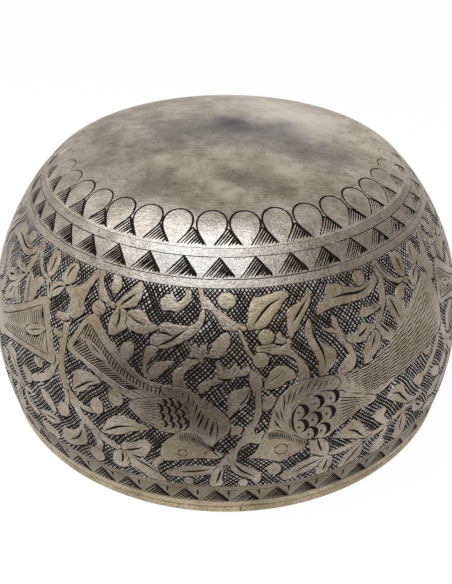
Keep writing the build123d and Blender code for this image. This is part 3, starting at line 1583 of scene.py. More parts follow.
@dataclass(frozen=True)
class RightBird:
    """The bird whose tail sweeps up to the right, head down beside the tree."""

    tail: WavedTail | BarbedTail = WavedTail(
        outline=(
            (19, 18.9), (24, 19.5), (28.6, 19.3), (32, 18.3), (36, 16.5), (40, 14.2), (43.4, 12.2),
            (46.7, 10.5), (50, 9), (52.4, 8.3), (54.2, 9.4), (55.4, 12), (56, 15.5), (55.6, 19),
            (54.4, 22.2), (50.4, 22.9), (46, 23.5), (41, 24.4), (36, 25.2), (31.5, 26.6), (27, 25.2),
            (22, 22.8),
        ),
        root=((22.4, 20.2), (28.6, 25.2)), end=((52.2, 9.3), (54.4, 21.4)), sag=(1.6, 0.5),
        waves=12, length=2.6, height=0.13, shift=1.7,
    )
    breast: Path = (
        (7.9, 28.4), (8.3, 26), (8.9, 23.8), (9.8, 21.8), (11.2, 20.4), (13.2, 19.2), (15.6, 18.7),
        (18, 18.8), (21, 19.1), (22.6, 20.6), (21.6, 21.9), (18, 21.9), (15.6, 22), (13.8, 22.8),
        (12.6, 24.2), (12.2, 26.2), (12.4, 28.4), (13.4, 30.6), (15.2, 32.8), (13, 32), (10.6, 30.6),
        (8.6, 29.8),
    )
    feathers: tuple[tuple[float, Path], ...] = (
        (0.4, ((9, 25.9), (9.5, 27.1), (10.5, 28.4))), (0.34, ((9.2, 24.1), (9.7, 25.3), (10.1, 26.4))),
        (0.34, ((10.2, 24), (10.6, 26.2))), (0.36, ((11, 20.9), (11, 22.8), (10.8, 24.6))),
        (0.36, ((12.4, 20.3), (11.5, 23.3))), (0.34, ((13.5, 20), (12.6, 22.5))),
        (0.36, ((15.2, 19.4), (13.3, 22))), (0.36, ((16.6, 18.9), (15.3, 21))),
        (0.36, ((18, 19), (16.3, 21.4))), (0.34, ((19.2, 19.3), (17.6, 21.5))),
        (0.34, ((20.3, 19.5), (18.9, 21.4))), (0.32, ((21.4, 19.7), (20.1, 21.2))),
    )
    wing: Path = (
        (12.1, 26.6), (12.5, 24.6), (13.8, 22.9), (16, 22), (18.8, 21.9), (22, 22.5), (25, 24.1), (28, 25.4),
        (30.8, 26.9), (30, 28), (27.4, 28.3), (25, 29.2), (22.8, 30.4), (21, 31.4), (19.8, 32.4), (18, 32.2),
        (15, 31.6), (13.2, 30.4), (12.3, 28.6),
    )
    scales: tuple[Point, ...] = (
        (13.8, 25.2), (17, 23.9), (20.3, 23.6), (13.8, 28.5), (16.5, 27.4), (19.4, 26.8), (15.7, 30.6),
        (18.3, 30.4),
    )
    scale_radius: float = 1.55
    scale_weight: float = 0.66
    wing_tip: Point = (30.6, 27.2)
    wing_root: tuple[Point, Point] = ((22.2, 24), (22.4, 29.8))
    wing_edge: Path = ((13.6, 30.3), (12.7, 28.6), (12.5, 26.6), (12.9, 24.8), (14.1, 23.2))
    quills: int = 8
    quill_ends: tuple[float, float] = (0.8, 0.62)  # in turn, as shares of the way to the wing's tip
    head: Path = (
        (4.3, 34.6), (5.4, 33.4), (6, 32.2), (6.6, 30.6), (7.4, 28.9), (8.6, 28.4), (10.2, 28.9),
        (12.2, 30.1), (14.2, 31.3), (15.4, 32.4), (14.8, 34), (13.4, 34.9), (11.8, 35.7), (10.2, 36.5),
        (8.8, 35.8), (6.4, 35),
    )
    eye: tuple[float, float, float] = (10.4, 33.2, 1.25)
    comb_line: Path = ((7.9, 28.6), (9.2, 28.7), (10.6, 29.2), (12.4, 30.3), (14.8, 31.8))

    def motifs(self) -> list[Motif]:
        """Draws the bird's pieces in order."""
        return [*self.tail.motifs(), self.breast_motif(), self.wing_motif(), self.head_motif()]

    def breast_motif(self) -> Motif:
        """Draws the breast with its loose feathers."""
        return Motif(flow(self.breast, closed=True), strokes(self.feathers))

    def wing_motif(self) -> Motif:
        """Draws the wing: large scales on the shoulder, then quills to its tip.

        Returns:
            The wing.
        """
        cuts: Cuts = []
        for x, y in self.scales:
            cuts.extend(scale_cuts(x, y, self.scale_radius, self.scale_weight))
        for number in range(self.quills):
            start = part_way(*self.wing_root, number / (self.quills - 1))
            end = part_way(start, self.wing_tip, self.quill_ends[number % 2])
            cuts.append(ribbon(flow([start, end], step=0.6), Tool.LINE.value * 1.4, (0.1, 0.5)))
        cuts.append(ribbon(flow(self.wing_edge, step=0.5), Tool.VEIN.value, (0.3, 0.3), 0.1))
        return Motif(flow(self.wing, closed=True), cuts)

    def head_motif(self) -> Motif:
        """Draws the head with its eye, and the comb of short feathers that hangs over it."""
        cuts = ring_cut(*self.eye) + comb(self.comb_line, 18, (0.2, 2.0), (0.45, 1.6))
        return Motif(flow(self.head, closed=True), cuts)


# Tail of the bird on the right in the panels beside the front one
FAN_TAIL = BarbedTail(
    outline=(
        (19, 18.9), (24, 19.6), (28.3, 20.4), (33, 18.4), (37.9, 15.5), (42, 12.9), (45.6, 10.4),
        (47.2, 10.2), (48.8, 12.6), (50.4, 15.6), (52, 18.6), (53, 21.4), (52.2, 22.6), (49, 22.8),
        (45, 23.3), (41, 24), (36, 25.2), (31.5, 26.6), (27, 25.2), (22, 22.8),
    ),
    strips=(
        ((29, 22.6), (33.6, 20), (38.4, 17), (42.6, 14.2), (46, 12)),
        ((30.6, 25.2), (36, 23.8), (41.5, 22.6), (46, 21.8), (50.8, 21.2)),
        ((46, 12), (47.6, 14.6), (49.2, 17.4), (50.8, 21.2)),
    ),
    spine=((30.2, 24), (36, 21.6), (41, 19.2), (45.5, 17.2), (49, 16.4)),
    leaf=Blob(
        ((41.7, 19.7), (43, 18), (45.2, 16.7), (47.2, 16.1), (48.7, 16.4), (47.4, 17.9), (45.8, 19),
         (43.8, 19.8)),
        (((43.2, 19), (45.4, 17.9), (47.4, 16.9)),), 0.3,
    ),
    barbs=21, first=0.12, reach=0.85, sweeps=(0.12, -0.1), lasts=(1.0, 1.0), shares=(0.04, 0.5, 0.95),
    width=Tool.LINE.value * 1.5, taper=(0.2, 0.1), strip_width=Tool.LINE.value * 1.3,
)


@dataclass(frozen=True)
class Hatching:
    """Two crossing families of hand-cut lines, which bend a little and repeat from panel to panel."""

    pitch: float = 0.68
    slants: tuple[float, float] = (49, -47)
    bend: float = 0.34
    error: float = 0.15  # of each line's place, as a share of the pitch
    step: float = 0.3  # mm between the points of a line
    stride: int = 4  # points of a line for each of its cut
    weights: tuple[float, float] = (0.8, 1.3)  # lightest and heaviest cut
    seed: int = 21

    def cut(self, run: Sequence[Point], hand: random.Random) -> list[Point]:
        """Cuts one run of a line, as heavy as the hand happens to press."""
        path = [*run[:-1:self.stride], run[-1]]
        return ribbon(path, Tool.HATCH.value * hand.uniform(*self.weights), (0.06, 0.06), 0.6)

    def lines(self, low: float, width: float, height: float) -> Iterator[list[Point]]:
        """Gives each line across a panel.

        Args:
            low: the panel's left side.
            width: its width, after which the lines repeat.
            height: its height.

        Yields:
            The points of one line, step by step.
        """
        hand = random.Random(self.seed)
        for slant in self.slants:
            turn = math.radians(slant)
            count = round(width * math.sin(abs(turn)) / self.pitch)
            lean = 1 / math.tan(turn)
            steps = round(height / math.sin(abs(turn)) / self.step)
            for number in range(count):
                first = low + width * (number + hand.uniform(-self.error, self.error)) / count
                for shift in (-width, 0.0, width):
                    line: list[Point] = []
                    for place in range(steps + 1):
                        down = height * place / steps
                        across = first + shift + down * lean
                        around = math.tau * (across - low) / width
                        swing = math.sin(5 * around + 0.45 * down + slant)
                        swing += 0.6 * math.sin(9 * around - 0.7 * down)
                        line.append((across + self.bend * swing, down))
                    yield line


# Plants of one panel
STEMS: tuple[Blob | Stem, ...] = (
    Blob(((-6.2, 0.1), (-5.8, 1.6), (-5.3, 3.2), (-5.1, 4.6), (-4.4, 4.1), (-3.4, 4.3), (-2.4, 5.2),
          (-1.4, 6.5), (-0.4, 7.8), (1.6, 8), (4, 8), (5.2, 7.6), (4.2, 6.9), (2.4, 6.8), (0.8, 5.7),
          (-0.8, 4.7), (-2.4, 3.5), (-3.8, 2.3), (-4.8, 1.5), (-5.2, 0.1))),
    Stem(((2.6, 7.8), (3.6, 10.2), (4.6, 12.2), (5.6, 13.4)), 0.7),
    Blob(((4.7, 15.2), (5.6, 16), (6.9, 17.6), (6.6, 19.4), (6.6, 22), (6.7, 24), (6, 26), (5.2, 27.8),
          (5.8, 28.9), (7.4, 28.6), (7.4, 29.8), (6.4, 31.2), (4.6, 30.8), (3.6, 31.2), (2.4, 32.6),
          (2, 34.2), (1.8, 36), (0.8, 36.6), (0.2, 36.2), (-0.6, 36.8), (-1.8, 37), (-0.8, 35.2),
          (0.2, 33.6), (1.6, 32), (2.6, 30.2), (3.2, 29), (3, 27.9), (4.4, 26.6), (5.4, 24.4), (5.5, 22),
          (5.2, 20), (4.5, 18)), (((5.5, 19.4), (5.5, 21.2)), ((0.6, 34.4), (0.3, 35.6))), 0.2),
    Blob(((6, 11.2), (8, 10.9), (10.2, 10.8), (11.6, 10.9), (12.6, 10.2), (13.4, 10.6), (12.8, 11.8),
          (13.8, 13.2), (15, 14.8), (16.2, 16.4), (16, 18.8), (14.4, 18.9), (14, 17), (14.1, 15.2),
          (12.8, 13.6), (11, 12.9), (9.4, 12.8), (8, 12.4), (6.2, 12.1)),
         (((6.4, 11.6), (8.6, 11.5), (10.8, 11.7)),), 0.18),
    Blob(((20, 9.5), (21.4, 9.8), (23.2, 10), (24.4, 11.2), (25.4, 13), (26.2, 15), (26.7, 17.2), (26, 18.6),
          (24.8, 19.4), (22.4, 19.4), (22.6, 18.2), (24.2, 16.8), (25.2, 15.9), (24.6, 14.2), (23.6, 12.4),
          (22.6, 10.9), (21.2, 10.5))),
    Blob(((36.9, 0.2), (38.4, 0.2), (38.6, 2.2), (38.2, 4.6), (37.8, 6.8), (36.8, 9), (35.4, 10.9),
          (33.6, 12.5), (32.4, 12.2), (33.8, 10.6), (35.2, 8.6), (36, 6.2), (36.6, 4), (37, 2.2))),
    Stem(((38, 1), (39.2, 3.6), (41.2, 5.4), (43, 6.3), (45.2, 6.4)), 0.9),
    Stem(((-30.6, 0.2), (-31.4, 2.4), (-33, 5.4), (-34.4, 8.6), (-35.3, 12), (-35.4, 16), (-35.4, 19.5),
          (-34.7, 23), (-33.3, 26), (-31.6, 28.4), (-29.6, 30.8), (-27.2, 32.8), (-24.4, 34.6),
          (-20.4, 36.5)), 1.7),
    Blob(((-31, 2.6), (-31.9, 5), (-32.3, 7.6), (-31.6, 9.2), (-32.6, 10.4), (-34.4, 11.2), (-36.2, 10.6),
          (-36, 8), (-38.6, 6.1), (-35.8, 5.2), (-33.4, 3.6), (-31.8, 1.2))),
    Stem(((-36, 20.2), (-37.2, 22.4), (-38, 24.8), (-39.8, 26.6), (-42, 28.2), (-44.5, 29.6)), 1.6),
    Stem(((-33.4, 26.6), (-33.1, 28.6), (-33.4, 30.6)), 1.2),
    Stem(((-32.6, 26.6), (-30.4, 28.2), (-28.2, 28.9), (-26, 28.7)), 1),
    Blob(((-30.4, 0.3), (-29.2, 0.5), (-28.5, 2.7), (-27.4, 3.8), (-26, 5.1), (-24.2, 5.7), (-23.4, 6.3),
          (-25.2, 6.5), (-27, 5.9), (-28.6, 5.8), (-29.5, 3.8), (-30.2, 1.8))),
    Stem(((-26.6, 33.6), (-25.4, 36.4), (-25.8, 38.8)), 1.5),
    Stem(((-35.2, 11.2), (-37, 11.9), (-39, 11.8)), 1.5),
    Stem(((-36, 15.3), (-37.4, 15.6), (-38.8, 15.4)), 1.2),
    Stem(((19.6, 37.6), (23.5, 37.3), (28, 36.9), (32, 36.4), (36, 35.4), (40, 34.4), (45, 33.8)), 1.3),
    Blob(((-6.6, 12.9), (-8.4, 14.7), (-10.1, 16.4), (-10.2, 18.2), (-10, 19.6), (-7.4, 19.5), (-8, 17.8),
          (-8.2, 16.8), (-7, 15.2), (-5.2, 13.8))),
    Blob(((0.6, 16.3), (-1.4, 16.8), (-3.2, 17.4), (-4.8, 18.4), (-5.2, 19.8), (-4.2, 20), (-3.6, 18.8),
          (-2.2, 18.3), (-0.6, 17.5), (0.8, 17))),
    Stem(((-11.6, 35.4), (-12.8, 36.8), (-13.8, 38.6), (-13.4, 40.4)), 1.3),
)
LEAVES: tuple[Blob | Bud, ...] = (
    Blob(((-24.4, 5.9), (-23.2, 4.3), (-21.8, 2.9), (-20.6, 1.6), (-19.6, 0.5), (-18.7, 1.2), (-18.6, 2.6),
          (-18.9, 3.9), (-19.8, 5.2), (-21.4, 5.8), (-23, 6.2)),
         (((-23.2, 5.7), (-21.6, 4.2), (-19.9, 2.8)),)),
    Blob(((-23.6, 6.2), (-22, 6.3), (-21.2, 7.2), (-20.8, 9.4), (-21.8, 10.4), (-23.2, 11.4), (-24.6, 11.6),
          (-25, 10), (-24.7, 8)), (((-23.1, 6.4), (-22.8, 8.2), (-23.2, 10)),)),
    Blob(((-21.3, 6.7), (-20, 5.9), (-18.4, 5.6), (-17.2, 6.4), (-16, 7.4), (-14.4, 8), (-13.9, 8.4),
          (-15.2, 9.3), (-17.2, 10), (-19.2, 9.8), (-20.7, 9.3), (-21.1, 8)),
         (((-20.6, 7.2), (-18.8, 7.9), (-16.9, 8.3)),), 0.38),
    Blob(((-14.2, 3.4), (-13.4, 2.3), (-12.2, 2), (-11.3, 2.4), (-10.9, 3.2), (-9.9, 3), (-8.9, 1.9),
          (-8.1, 0.7), (-7.5, 1.4), (-7.8, 2.7), (-8.8, 4.1), (-10.2, 4.9), (-11.8, 4.8), (-13.6, 5))),
    Blob(((-14.2, 12.1), (-15.4, 11.4), (-15.4, 10.4), (-14.6, 9.6), (-13.5, 9.2), (-13.9, 8.4),
          (-13.4, 7.5), (-12.2, 7.1), (-10.4, 7.3), (-8.6, 7.5), (-7, 7.2), (-5.8, 6.2), (-5.3, 4.8),
          (-4.6, 4.2), (-4.5, 6), (-5.4, 7.8), (-6.8, 9.2), (-8.4, 10.2), (-10.4, 11.2), (-12.4, 12)),
         (((-14, 11.9), (-11.5, 10.6), (-9.6, 9.2), (-7.9, 7.9)),
          ((-13.6, 9.2), (-12.2, 9.2), (-10.8, 9.6)))),
    Blob(((-13.4, 12.2), (-15.2, 11.9), (-16.2, 12.6), (-16.4, 14.4), (-16.3, 16.4), (-15.9, 18.2),
          (-15.4, 17.8), (-15.6, 16), (-15, 14.4), (-14.2, 13.2))),
    Blob(((-15.3, 17.6), (-14.6, 15.8), (-13.2, 14.8), (-11.6, 14.4), (-10.5, 14.3), (-11.3, 15.4),
          (-12.2, 16.6), (-13.2, 17.6), (-14.2, 18.3), (-15.2, 18.5))),
    Blob(((-21.6, 13.6), (-20.8, 12.4), (-19.6, 12), (-18.7, 12.8), (-18.6, 14), (-19.2, 15.2), (-20.2, 16),
          (-21.4, 15.4))),
    Blob(((-8, 10.4), (-6.8, 11.2), (-6.1, 10.3), (-5.2, 11.3), (-3.6, 10.1), (-3.8, 11.6), (-2.6, 12.6),
          (-4.2, 13), (-4.8, 14), (-5.8, 13.2), (-7.4, 13), (-6.8, 12.2)), (((-5.4, 12.2), (-5.7, 11.3)),
          ((-5, 12.2), (-4.1, 11.5)), ((-5, 12.6), (-4, 12.5))), 0.2),
    Blob(((-0.6, 8.6), (0.3, 8.3), (0.9, 9.6), (0.6, 10.8), (-0.2, 11.8), (-1, 12.8), (-2.4, 13),
          (-3.6, 12.9), (-3.4, 12.2), (-2.8, 11), (-2.2, 9.8), (-1.4, 9))),
    Blob(((-1.9, 13.6), (-1, 14.2), (-0.2, 15.2), (0.6, 15.3), (1.4, 14.5), (2.1, 13.9), (2.3, 15.2),
          (3.2, 15.3), (4.4, 14.6), (4.5, 15.8), (3.4, 16.5), (1.6, 16.6), (0.2, 17), (-1.2, 16.8),
          (-1.6, 15.4)), (((-0.7, 14.7), (-0.1, 16.2)), ((0.5, 15.3), (0.2, 16.3)),
          ((1.8, 15.2), (1.2, 16.4))), 0.22),
    Blob(((4.2, 7.4), (4.6, 5.6), (5, 3.6), (6, 2.3), (7.8, 2), (9.4, 1.7), (10.6, 1.4), (12, 1.3),
          (13.2, 1.6), (13.8, 2.3), (12.4, 3.2), (11.4, 4.4), (10, 5.6), (8.8, 7), (7.4, 7.7), (6, 7.8),
          (5, 8)), (((5.5, 7.3), (7.6, 5), (9.4, 3.6), (11.9, 2.6)),)),
    Blob(((9.8, 10.6), (10.1, 9.2), (11, 8.7), (11.4, 9.6), (12.2, 10.4), (11.4, 11))),
    Blob(((12.8, 9.9), (12.7, 7.6), (12.9, 5.4), (13.6, 4.6), (15, 4.2), (16.2, 3.8), (17.2, 3), (18.2, 2),
          (18.7, 3.2), (18, 4.6), (16.8, 6), (15.8, 7.2), (14.6, 8.6), (13.8, 9.6), (13.3, 10.2)),
         (((13.8, 7.5), (15.6, 5.6), (18, 3.3)),)),
    Blob(((17.4, 7.2), (16.4, 8.4), (16.2, 10.2), (17, 12.4), (17.9, 14.3), (18.4, 15.8), (18.2, 18),
          (19, 19), (20.2, 17.8), (21.7, 16.8), (22.4, 15.4), (22.2, 14), (20.8, 12.9), (19.4, 11.9),
          (18.3, 10.4), (18.1, 8.6)),
         (((17.8, 8), (18.1, 10.4), (19.1, 12.8), (19.7, 14.8), (19.7, 17.2)),)),
    Blob(((7.4, 18.4), (8.2, 16.6), (9.4, 15.5), (10.8, 15.1), (12.4, 16), (13.6, 17.2), (13.2, 18),
          (11.6, 18.4), (10.2, 19.2), (8.6, 19.5), (7.4, 19.2)), (((8.1, 18.4), (9.6, 17.4), (11, 16.5)),),
         0.3),
    Blob(((19.4, 6.8), (20.2, 5.2), (21.8, 4.1), (22.4, 2.6), (23.6, 1.8), (25.2, 1.9), (27.4, 2.9),
          (29.4, 3.6), (31.4, 4), (33.6, 3.9), (36.2, 2.8), (36.6, 4), (34.8, 5.4), (32.6, 6.2), (30, 6.3),
          (27, 6.1), (24, 6), (21.6, 6.3)), (((23.8, 4.4), (27, 4.4), (30, 4.8), (32.4, 4.7), (34.8, 3.9)),),
         0.55),
    Blob(((22.6, 9.8), (22.4, 8.6), (22.9, 7.6), (23.6, 8.2), (23.9, 9.6), (23.4, 10.3))),
    Blob(((25, 12.4), (26.8, 12.3), (28.2, 11.5), (30, 11), (31.6, 11.5), (32.8, 12.4), (31.6, 13),
          (30.2, 13.8), (28.6, 14.3), (26.8, 13.9), (25.6, 13.5)),
         (((27.9, 13.1), (29.4, 12.6), (30.9, 11.8)),), 0.6),
    Blob(((32.2, 13.1), (30.6, 14.1), (29.2, 15.4), (28.6, 17), (28.6, 18.8), (29.8, 18.7), (31.4, 17.7),
          (32.8, 16.6), (33.4, 15.3), (33.2, 13.9)), (((32.3, 14), (31.4, 15.4), (30.5, 16.8)),)),
    Blob(((32.8, 12.4), (34, 12), (35.2, 12.9), (36.2, 14), (37.4, 15.4), (38.2, 16.2), (36.4, 16.6),
          (34.8, 16.1), (33.8, 14.9), (33.4, 13.6)), (((33.9, 12.2), (34.9, 13.4), (36.2, 15)),)),
    Blob(((29.4, 8.4), (30.8, 8.1), (32.8, 8.3), (34.6, 8.6), (35.4, 9.2), (34, 9.6), (32.2, 9.7),
          (30.6, 9.9), (29.9, 9.4)), (((32.2, 8.8), (34.6, 8.7)),), 0.2),
    Blob(((44.9, 6.2), (43.6, 5), (43, 3.2), (43.4, 1.4), (44.4, 0.5), (46, 1.2), (46.9, 2.8), (46.8, 4.6),
          (46, 5.9)), (((45, 1.6), (45.2, 3.4), (45, 5.4)),), 0.55),
    Blob(((45, 6.5), (46.6, 6.8), (48, 8), (48.2, 9.6), (46.8, 9.9), (46, 8.8)),
         (((45.9, 6.9), (47, 9.2)),)),
    Blob(((44.2, 7.4), (42.4, 7.2), (41.2, 8), (40, 8.9), (41, 9.8), (42.4, 10.3), (43.2, 9.8),
          (43.8, 8.6))),
    Blob(((38.2, 7.8), (37.4, 9.4), (37.6, 11.4), (38.6, 13.6), (39.6, 15.4), (40.8, 15), (41.6, 13.6),
          (42.6, 11.8), (42.6, 10.4), (41, 9.5), (39.4, 8.3)), (((38.5, 8.4), (39.2, 10.8), (40.2, 13.8)),),
         0.5),
    Blob(((-37.4, 0.9), (-36.6, 2), (-36.4, 3.4), (-37, 4.8), (-38.6, 5.7), (-40, 5.2), (-40.4, 3.8),
          (-39.8, 2.2), (-38.8, 1.3)), (((-37.9, 1.5), (-38.8, 2.8), (-39.1, 4.7)),), 0.5),
    Blob(((-38.8, 5.9), (-40.4, 5.6), (-42, 6.2), (-43, 7.4), (-43, 8.8), (-42, 9.4), (-40.8, 8.8),
          (-39.6, 7.9)), (((-39.1, 6.2), (-40.8, 6.9), (-42.4, 8.4)),), 0.5),
    Blob(((-31.6, 25.9), (-31.7, 24.2), (-31.6, 22.2), (-31.2, 21.2), (-30.4, 20.7), (-29, 20.7),
          (-27.6, 20.5), (-26.4, 21), (-25.2, 21.6), (-26.2, 22.4), (-27.6, 23.4), (-28.8, 24.8),
          (-30.2, 25.7)), (((-31.4, 25.6), (-29.4, 23.8), (-28, 22.7), (-26.2, 21.8)),)),
    Bud(-25.7, 27.2, 1.5, 1.8),
    Blob(((-24.6, 33.2), (-24, 31.4), (-23.2, 29.6), (-22, 28.3), (-20.2, 27.8), (-18.2, 27.9),
          (-16.2, 28.6), (-14.4, 29.2), (-16.4, 30), (-18.4, 30.8), (-19.8, 31.9), (-21.6, 32.7),
          (-23.4, 33.1)), (((-24.3, 32.9), (-22.4, 31.4), (-20.4, 30.2), (-17.3, 29.3)),), 0.55),
    Blob(((-33.2, 30), (-32.6, 31.2), (-32.8, 32.6), (-33.8, 33.6), (-35.2, 33.8), (-35.8, 32.4),
          (-35.4, 30.8), (-34.4, 30.2))),
    Blob(((-29.3, 32.6), (-28.8, 34.6), (-28.4, 36.4), (-28.8, 38.4), (-30.2, 39.6), (-31.8, 40.6),
          (-33.6, 41.4), (-34.9, 41), (-35.4, 39), (-34.6, 37.4), (-33, 36.6), (-31.6, 36), (-30.4, 34.8),
          (-29.9, 33.2)), (((-29.5, 34.6), (-30.4, 37), (-31.8, 38.7), (-33.4, 40)),), 0.55),
    Bud(-26.4, 40.3, 1.7, 2),
    Blob(((-36.6, 34.2), (-38.2, 33.8), (-40.2, 32.4), (-41.2, 30.8), (-39.6, 30.2), (-38, 31.2),
          (-36.8, 32.4))),
    Blob(((-35.8, 35.6), (-38, 35.4), (-40.4, 35.8), (-41.6, 37), (-40, 38.2), (-38, 38), (-36.4, 37.2)),
         (((-36.8, 36.4), (-38.6, 36.7), (-40.4, 36.9)),)),
    Blob(((-36.8, 41.6), (-38.4, 39.9), (-40.6, 39.6), (-42.4, 40.6), (-41.2, 42.2), (-38.6, 42.5))),
    Bud(-42.2, 24.3, 1.5, 1.2),
    Blob(((-20.4, 36.2), (-21.8, 37.2), (-22.6, 39), (-22.6, 40.8), (-21.2, 41.6), (-19.6, 40.8),
          (-19, 39.2), (-18.8, 37.6), (-19.6, 36.6)), (((-20.3, 36.8), (-20.4, 38.6), (-20.8, 40.2)),)),
    Bud(-21.6, 23.9, 1.6, 1.8),
    Blob(((-20.4, 36.2), (-20, 34.6), (-18.6, 33.6), (-16.8, 32.9), (-15.4, 31.9), (-14.6, 32.6),
          (-14.4, 34.2), (-15, 35.4), (-15.6, 36.4), (-17.4, 36.8), (-19, 36.8)),
         (((-19.8, 36.1), (-18, 35.3), (-15.9, 34.1)),)),
    Blob(((-19.4, 36.8), (-18, 37.2), (-16.2, 37.6), (-14.6, 38.6), (-13.4, 39.8), (-12.4, 41.2),
          (-11.6, 42.8), (-13.6, 42.9), (-15.6, 42.2), (-17.2, 40.8), (-18.6, 39.8), (-19, 38.2)),
         (((-18, 37.5), (-15.6, 38.8), (-13.2, 40.4)),)),
    Blob(((-1.6, 37.2), (-3.4, 36.9), (-5.6, 37), (-7.4, 37.3), (-9, 38), (-10.4, 39), (-11.6, 40.2),
          (-10.4, 40.8), (-8.4, 40.4), (-6.4, 40), (-4.4, 39.6), (-2.8, 38.8), (-1.8, 38)),
         (((-9, 39.3), (-6, 38.6), (-2.6, 37.6)),)),
    Bud(-7.2, 41.7, 0.95, 1.2),
    Blob(((4.2, 18.9), (2.6, 19.2), (1.2, 19.6), (0.5, 20.6), (0.3, 22.4), (0.3, 24.2), (0.6, 25),
          (1.6, 23.8), (2.8, 22.6), (4, 21.6), (4.6, 20.2)), (((2.2, 22.8), (3.8, 21), (4.4, 19.2)),), 0.4),
    Blob(((0.9, 27.8), (1.8, 26.8), (3, 27.2), (2.6, 28.4), (1.2, 28.9))),
    Blob(((6.9, 22.8), (7.2, 21.4), (8.2, 21), (9.4, 21.2), (9, 22.6), (8.2, 23.6), (7.2, 24))),
    Blob(((10.4, 40.6), (11.6, 39.6), (13, 38.6), (14.8, 37.6), (16.6, 36.9), (18.4, 37.2), (20, 37.6),
          (19.6, 38.8), (17.8, 40), (15.6, 41), (13.6, 41.8), (11.8, 42.4), (10.8, 41.8)),
         (((13, 40.5), (15.6, 39.2), (18.8, 38.1)),), 0.5),
    Blob(((1, 35.4), (2.4, 36), (3.8, 36.9), (5.2, 37.8), (6.4, 39.2), (6.8, 40.8), (6.2, 41.8), (5, 41),
          (3.6, 40), (2.2, 39.2), (1.2, 38), (0.9, 36.6)),
         (((1.5, 35.9), (2.8, 38), (4.2, 39.1), (5.5, 40.2)),)),
    Blob(((-0.5, 36.6), (-0.6, 38.6), (-0.8, 40.4), (-0.6, 42.2), (-1.6, 42.9), (-2.8, 42.9), (-3.2, 41.4),
          (-2.8, 39.6), (-2.2, 38), (-1.4, 36.8)), (((-0.9, 37.6), (-1.4, 40), (-1.9, 42)),), 0.5),
    Bud(3.3, 41.8, 0.95, 1.2),
    Bud(0.2, 2.5, 1.9, 1.5),
    Bud(8.1, 9.4, 1.6, 1.4),
    Bud(6.8, 13.7, 1.6, 1.4),
    Bud(-28.2, 7.4, 1.7, 1.4),
    Bud(-25.2, 2.1, 1.3, 1.7),
    Bud(31.7, 2.3, 1.7, 1.5),
    Bud(9.2, 38.4, 1.35, 1.7),
    Blob(((16.2, 31.8), (17.6, 31.9), (19, 33), (19.9, 34.6), (20.2, 36.4), (19.6, 37.6), (17.8, 36.8),
          (16.4, 35.8), (16, 34.2), (15.9, 32.8)), (((17.6, 32.4), (18, 34.2), (18.7, 36.2)),), 0.5),
    Blob(((20.8, 33), (22.2, 32.6), (23.4, 31.5), (24.8, 30.7), (26.4, 31), (27.4, 32.2), (28, 33.6),
          (28.8, 34.8), (30.2, 36), (28.4, 36.6), (26.8, 35.8), (24.8, 35), (23, 34.2)),
         (((24, 32.3), (26, 33.6), (27, 34.8), (28.2, 36)),), 0.55),
    Blob(((30.2, 31.6), (31.2, 30.7), (32.8, 30.6), (33.6, 31.6), (33, 33), (34.2, 34.6), (35.4, 35.4),
          (33.6, 35.6), (32.2, 34.4), (31, 33.2))),
    Blob(((33.6, 28.6), (35, 27.5), (36.8, 27), (38.4, 28), (39, 29.6), (40, 31.2), (41.4, 32.6),
          (42.6, 33.8), (40.6, 33.8), (38.6, 32.8), (37, 31.4), (35.2, 30.2)),
         (((35, 28.3), (37.2, 29.4), (38.4, 31), (40.4, 33.4)),), 0.55),
    Blob(((27.9, 37.4), (26, 37.8), (24.6, 39), (23.6, 40.6), (22.6, 42.2), (23.6, 43), (25.2, 42.6),
          (26.8, 42.2), (27.9, 41.2), (28, 39.6)), (((24, 42.6), (25.8, 40.2), (27.8, 37.9)),), 0.5),
    Blob(((33.9, 36.6), (32.4, 38.4), (30.9, 39.8), (30.4, 41.4), (31, 42.8), (32.6, 43), (33.9, 42.4),
          (34.2, 40.8), (33.4, 39), (34.6, 37.2))),
    Blob(((20.2, 37.8), (18.8, 38.8), (18.2, 40.4), (17.8, 42.2), (18.6, 43), (20, 43), (20.8, 41.6),
          (21.2, 40), (21, 38.6)), (((20, 38.7), (19.7, 40.4), (19.3, 42.2)),), 0.5),
    Blob(((38.8, 35.4), (37.6, 37.2), (37.2, 39.2), (37, 41.2), (37.8, 42.8), (39.4, 43), (40.6, 41.6),
          (40.6, 39.4), (40, 37.2)), (((38.9, 36.6), (38.7, 38.8), (38.8, 41)),)),
    Blob(((42.4, 34.8), (43.6, 35.4), (44.8, 36.4), (46.4, 37.6), (47.2, 38.8), (45.6, 39.2), (43.6, 38.4),
          (42.4, 37)), (((43.2, 35.6), (44.6, 37), (45.8, 38.2)),)),
    Blob(((42, 28.8), (43.4, 28.2), (45, 28.6), (45.6, 29.8), (45.2, 31.2), (44, 31.2), (42.8, 30.4))),
)


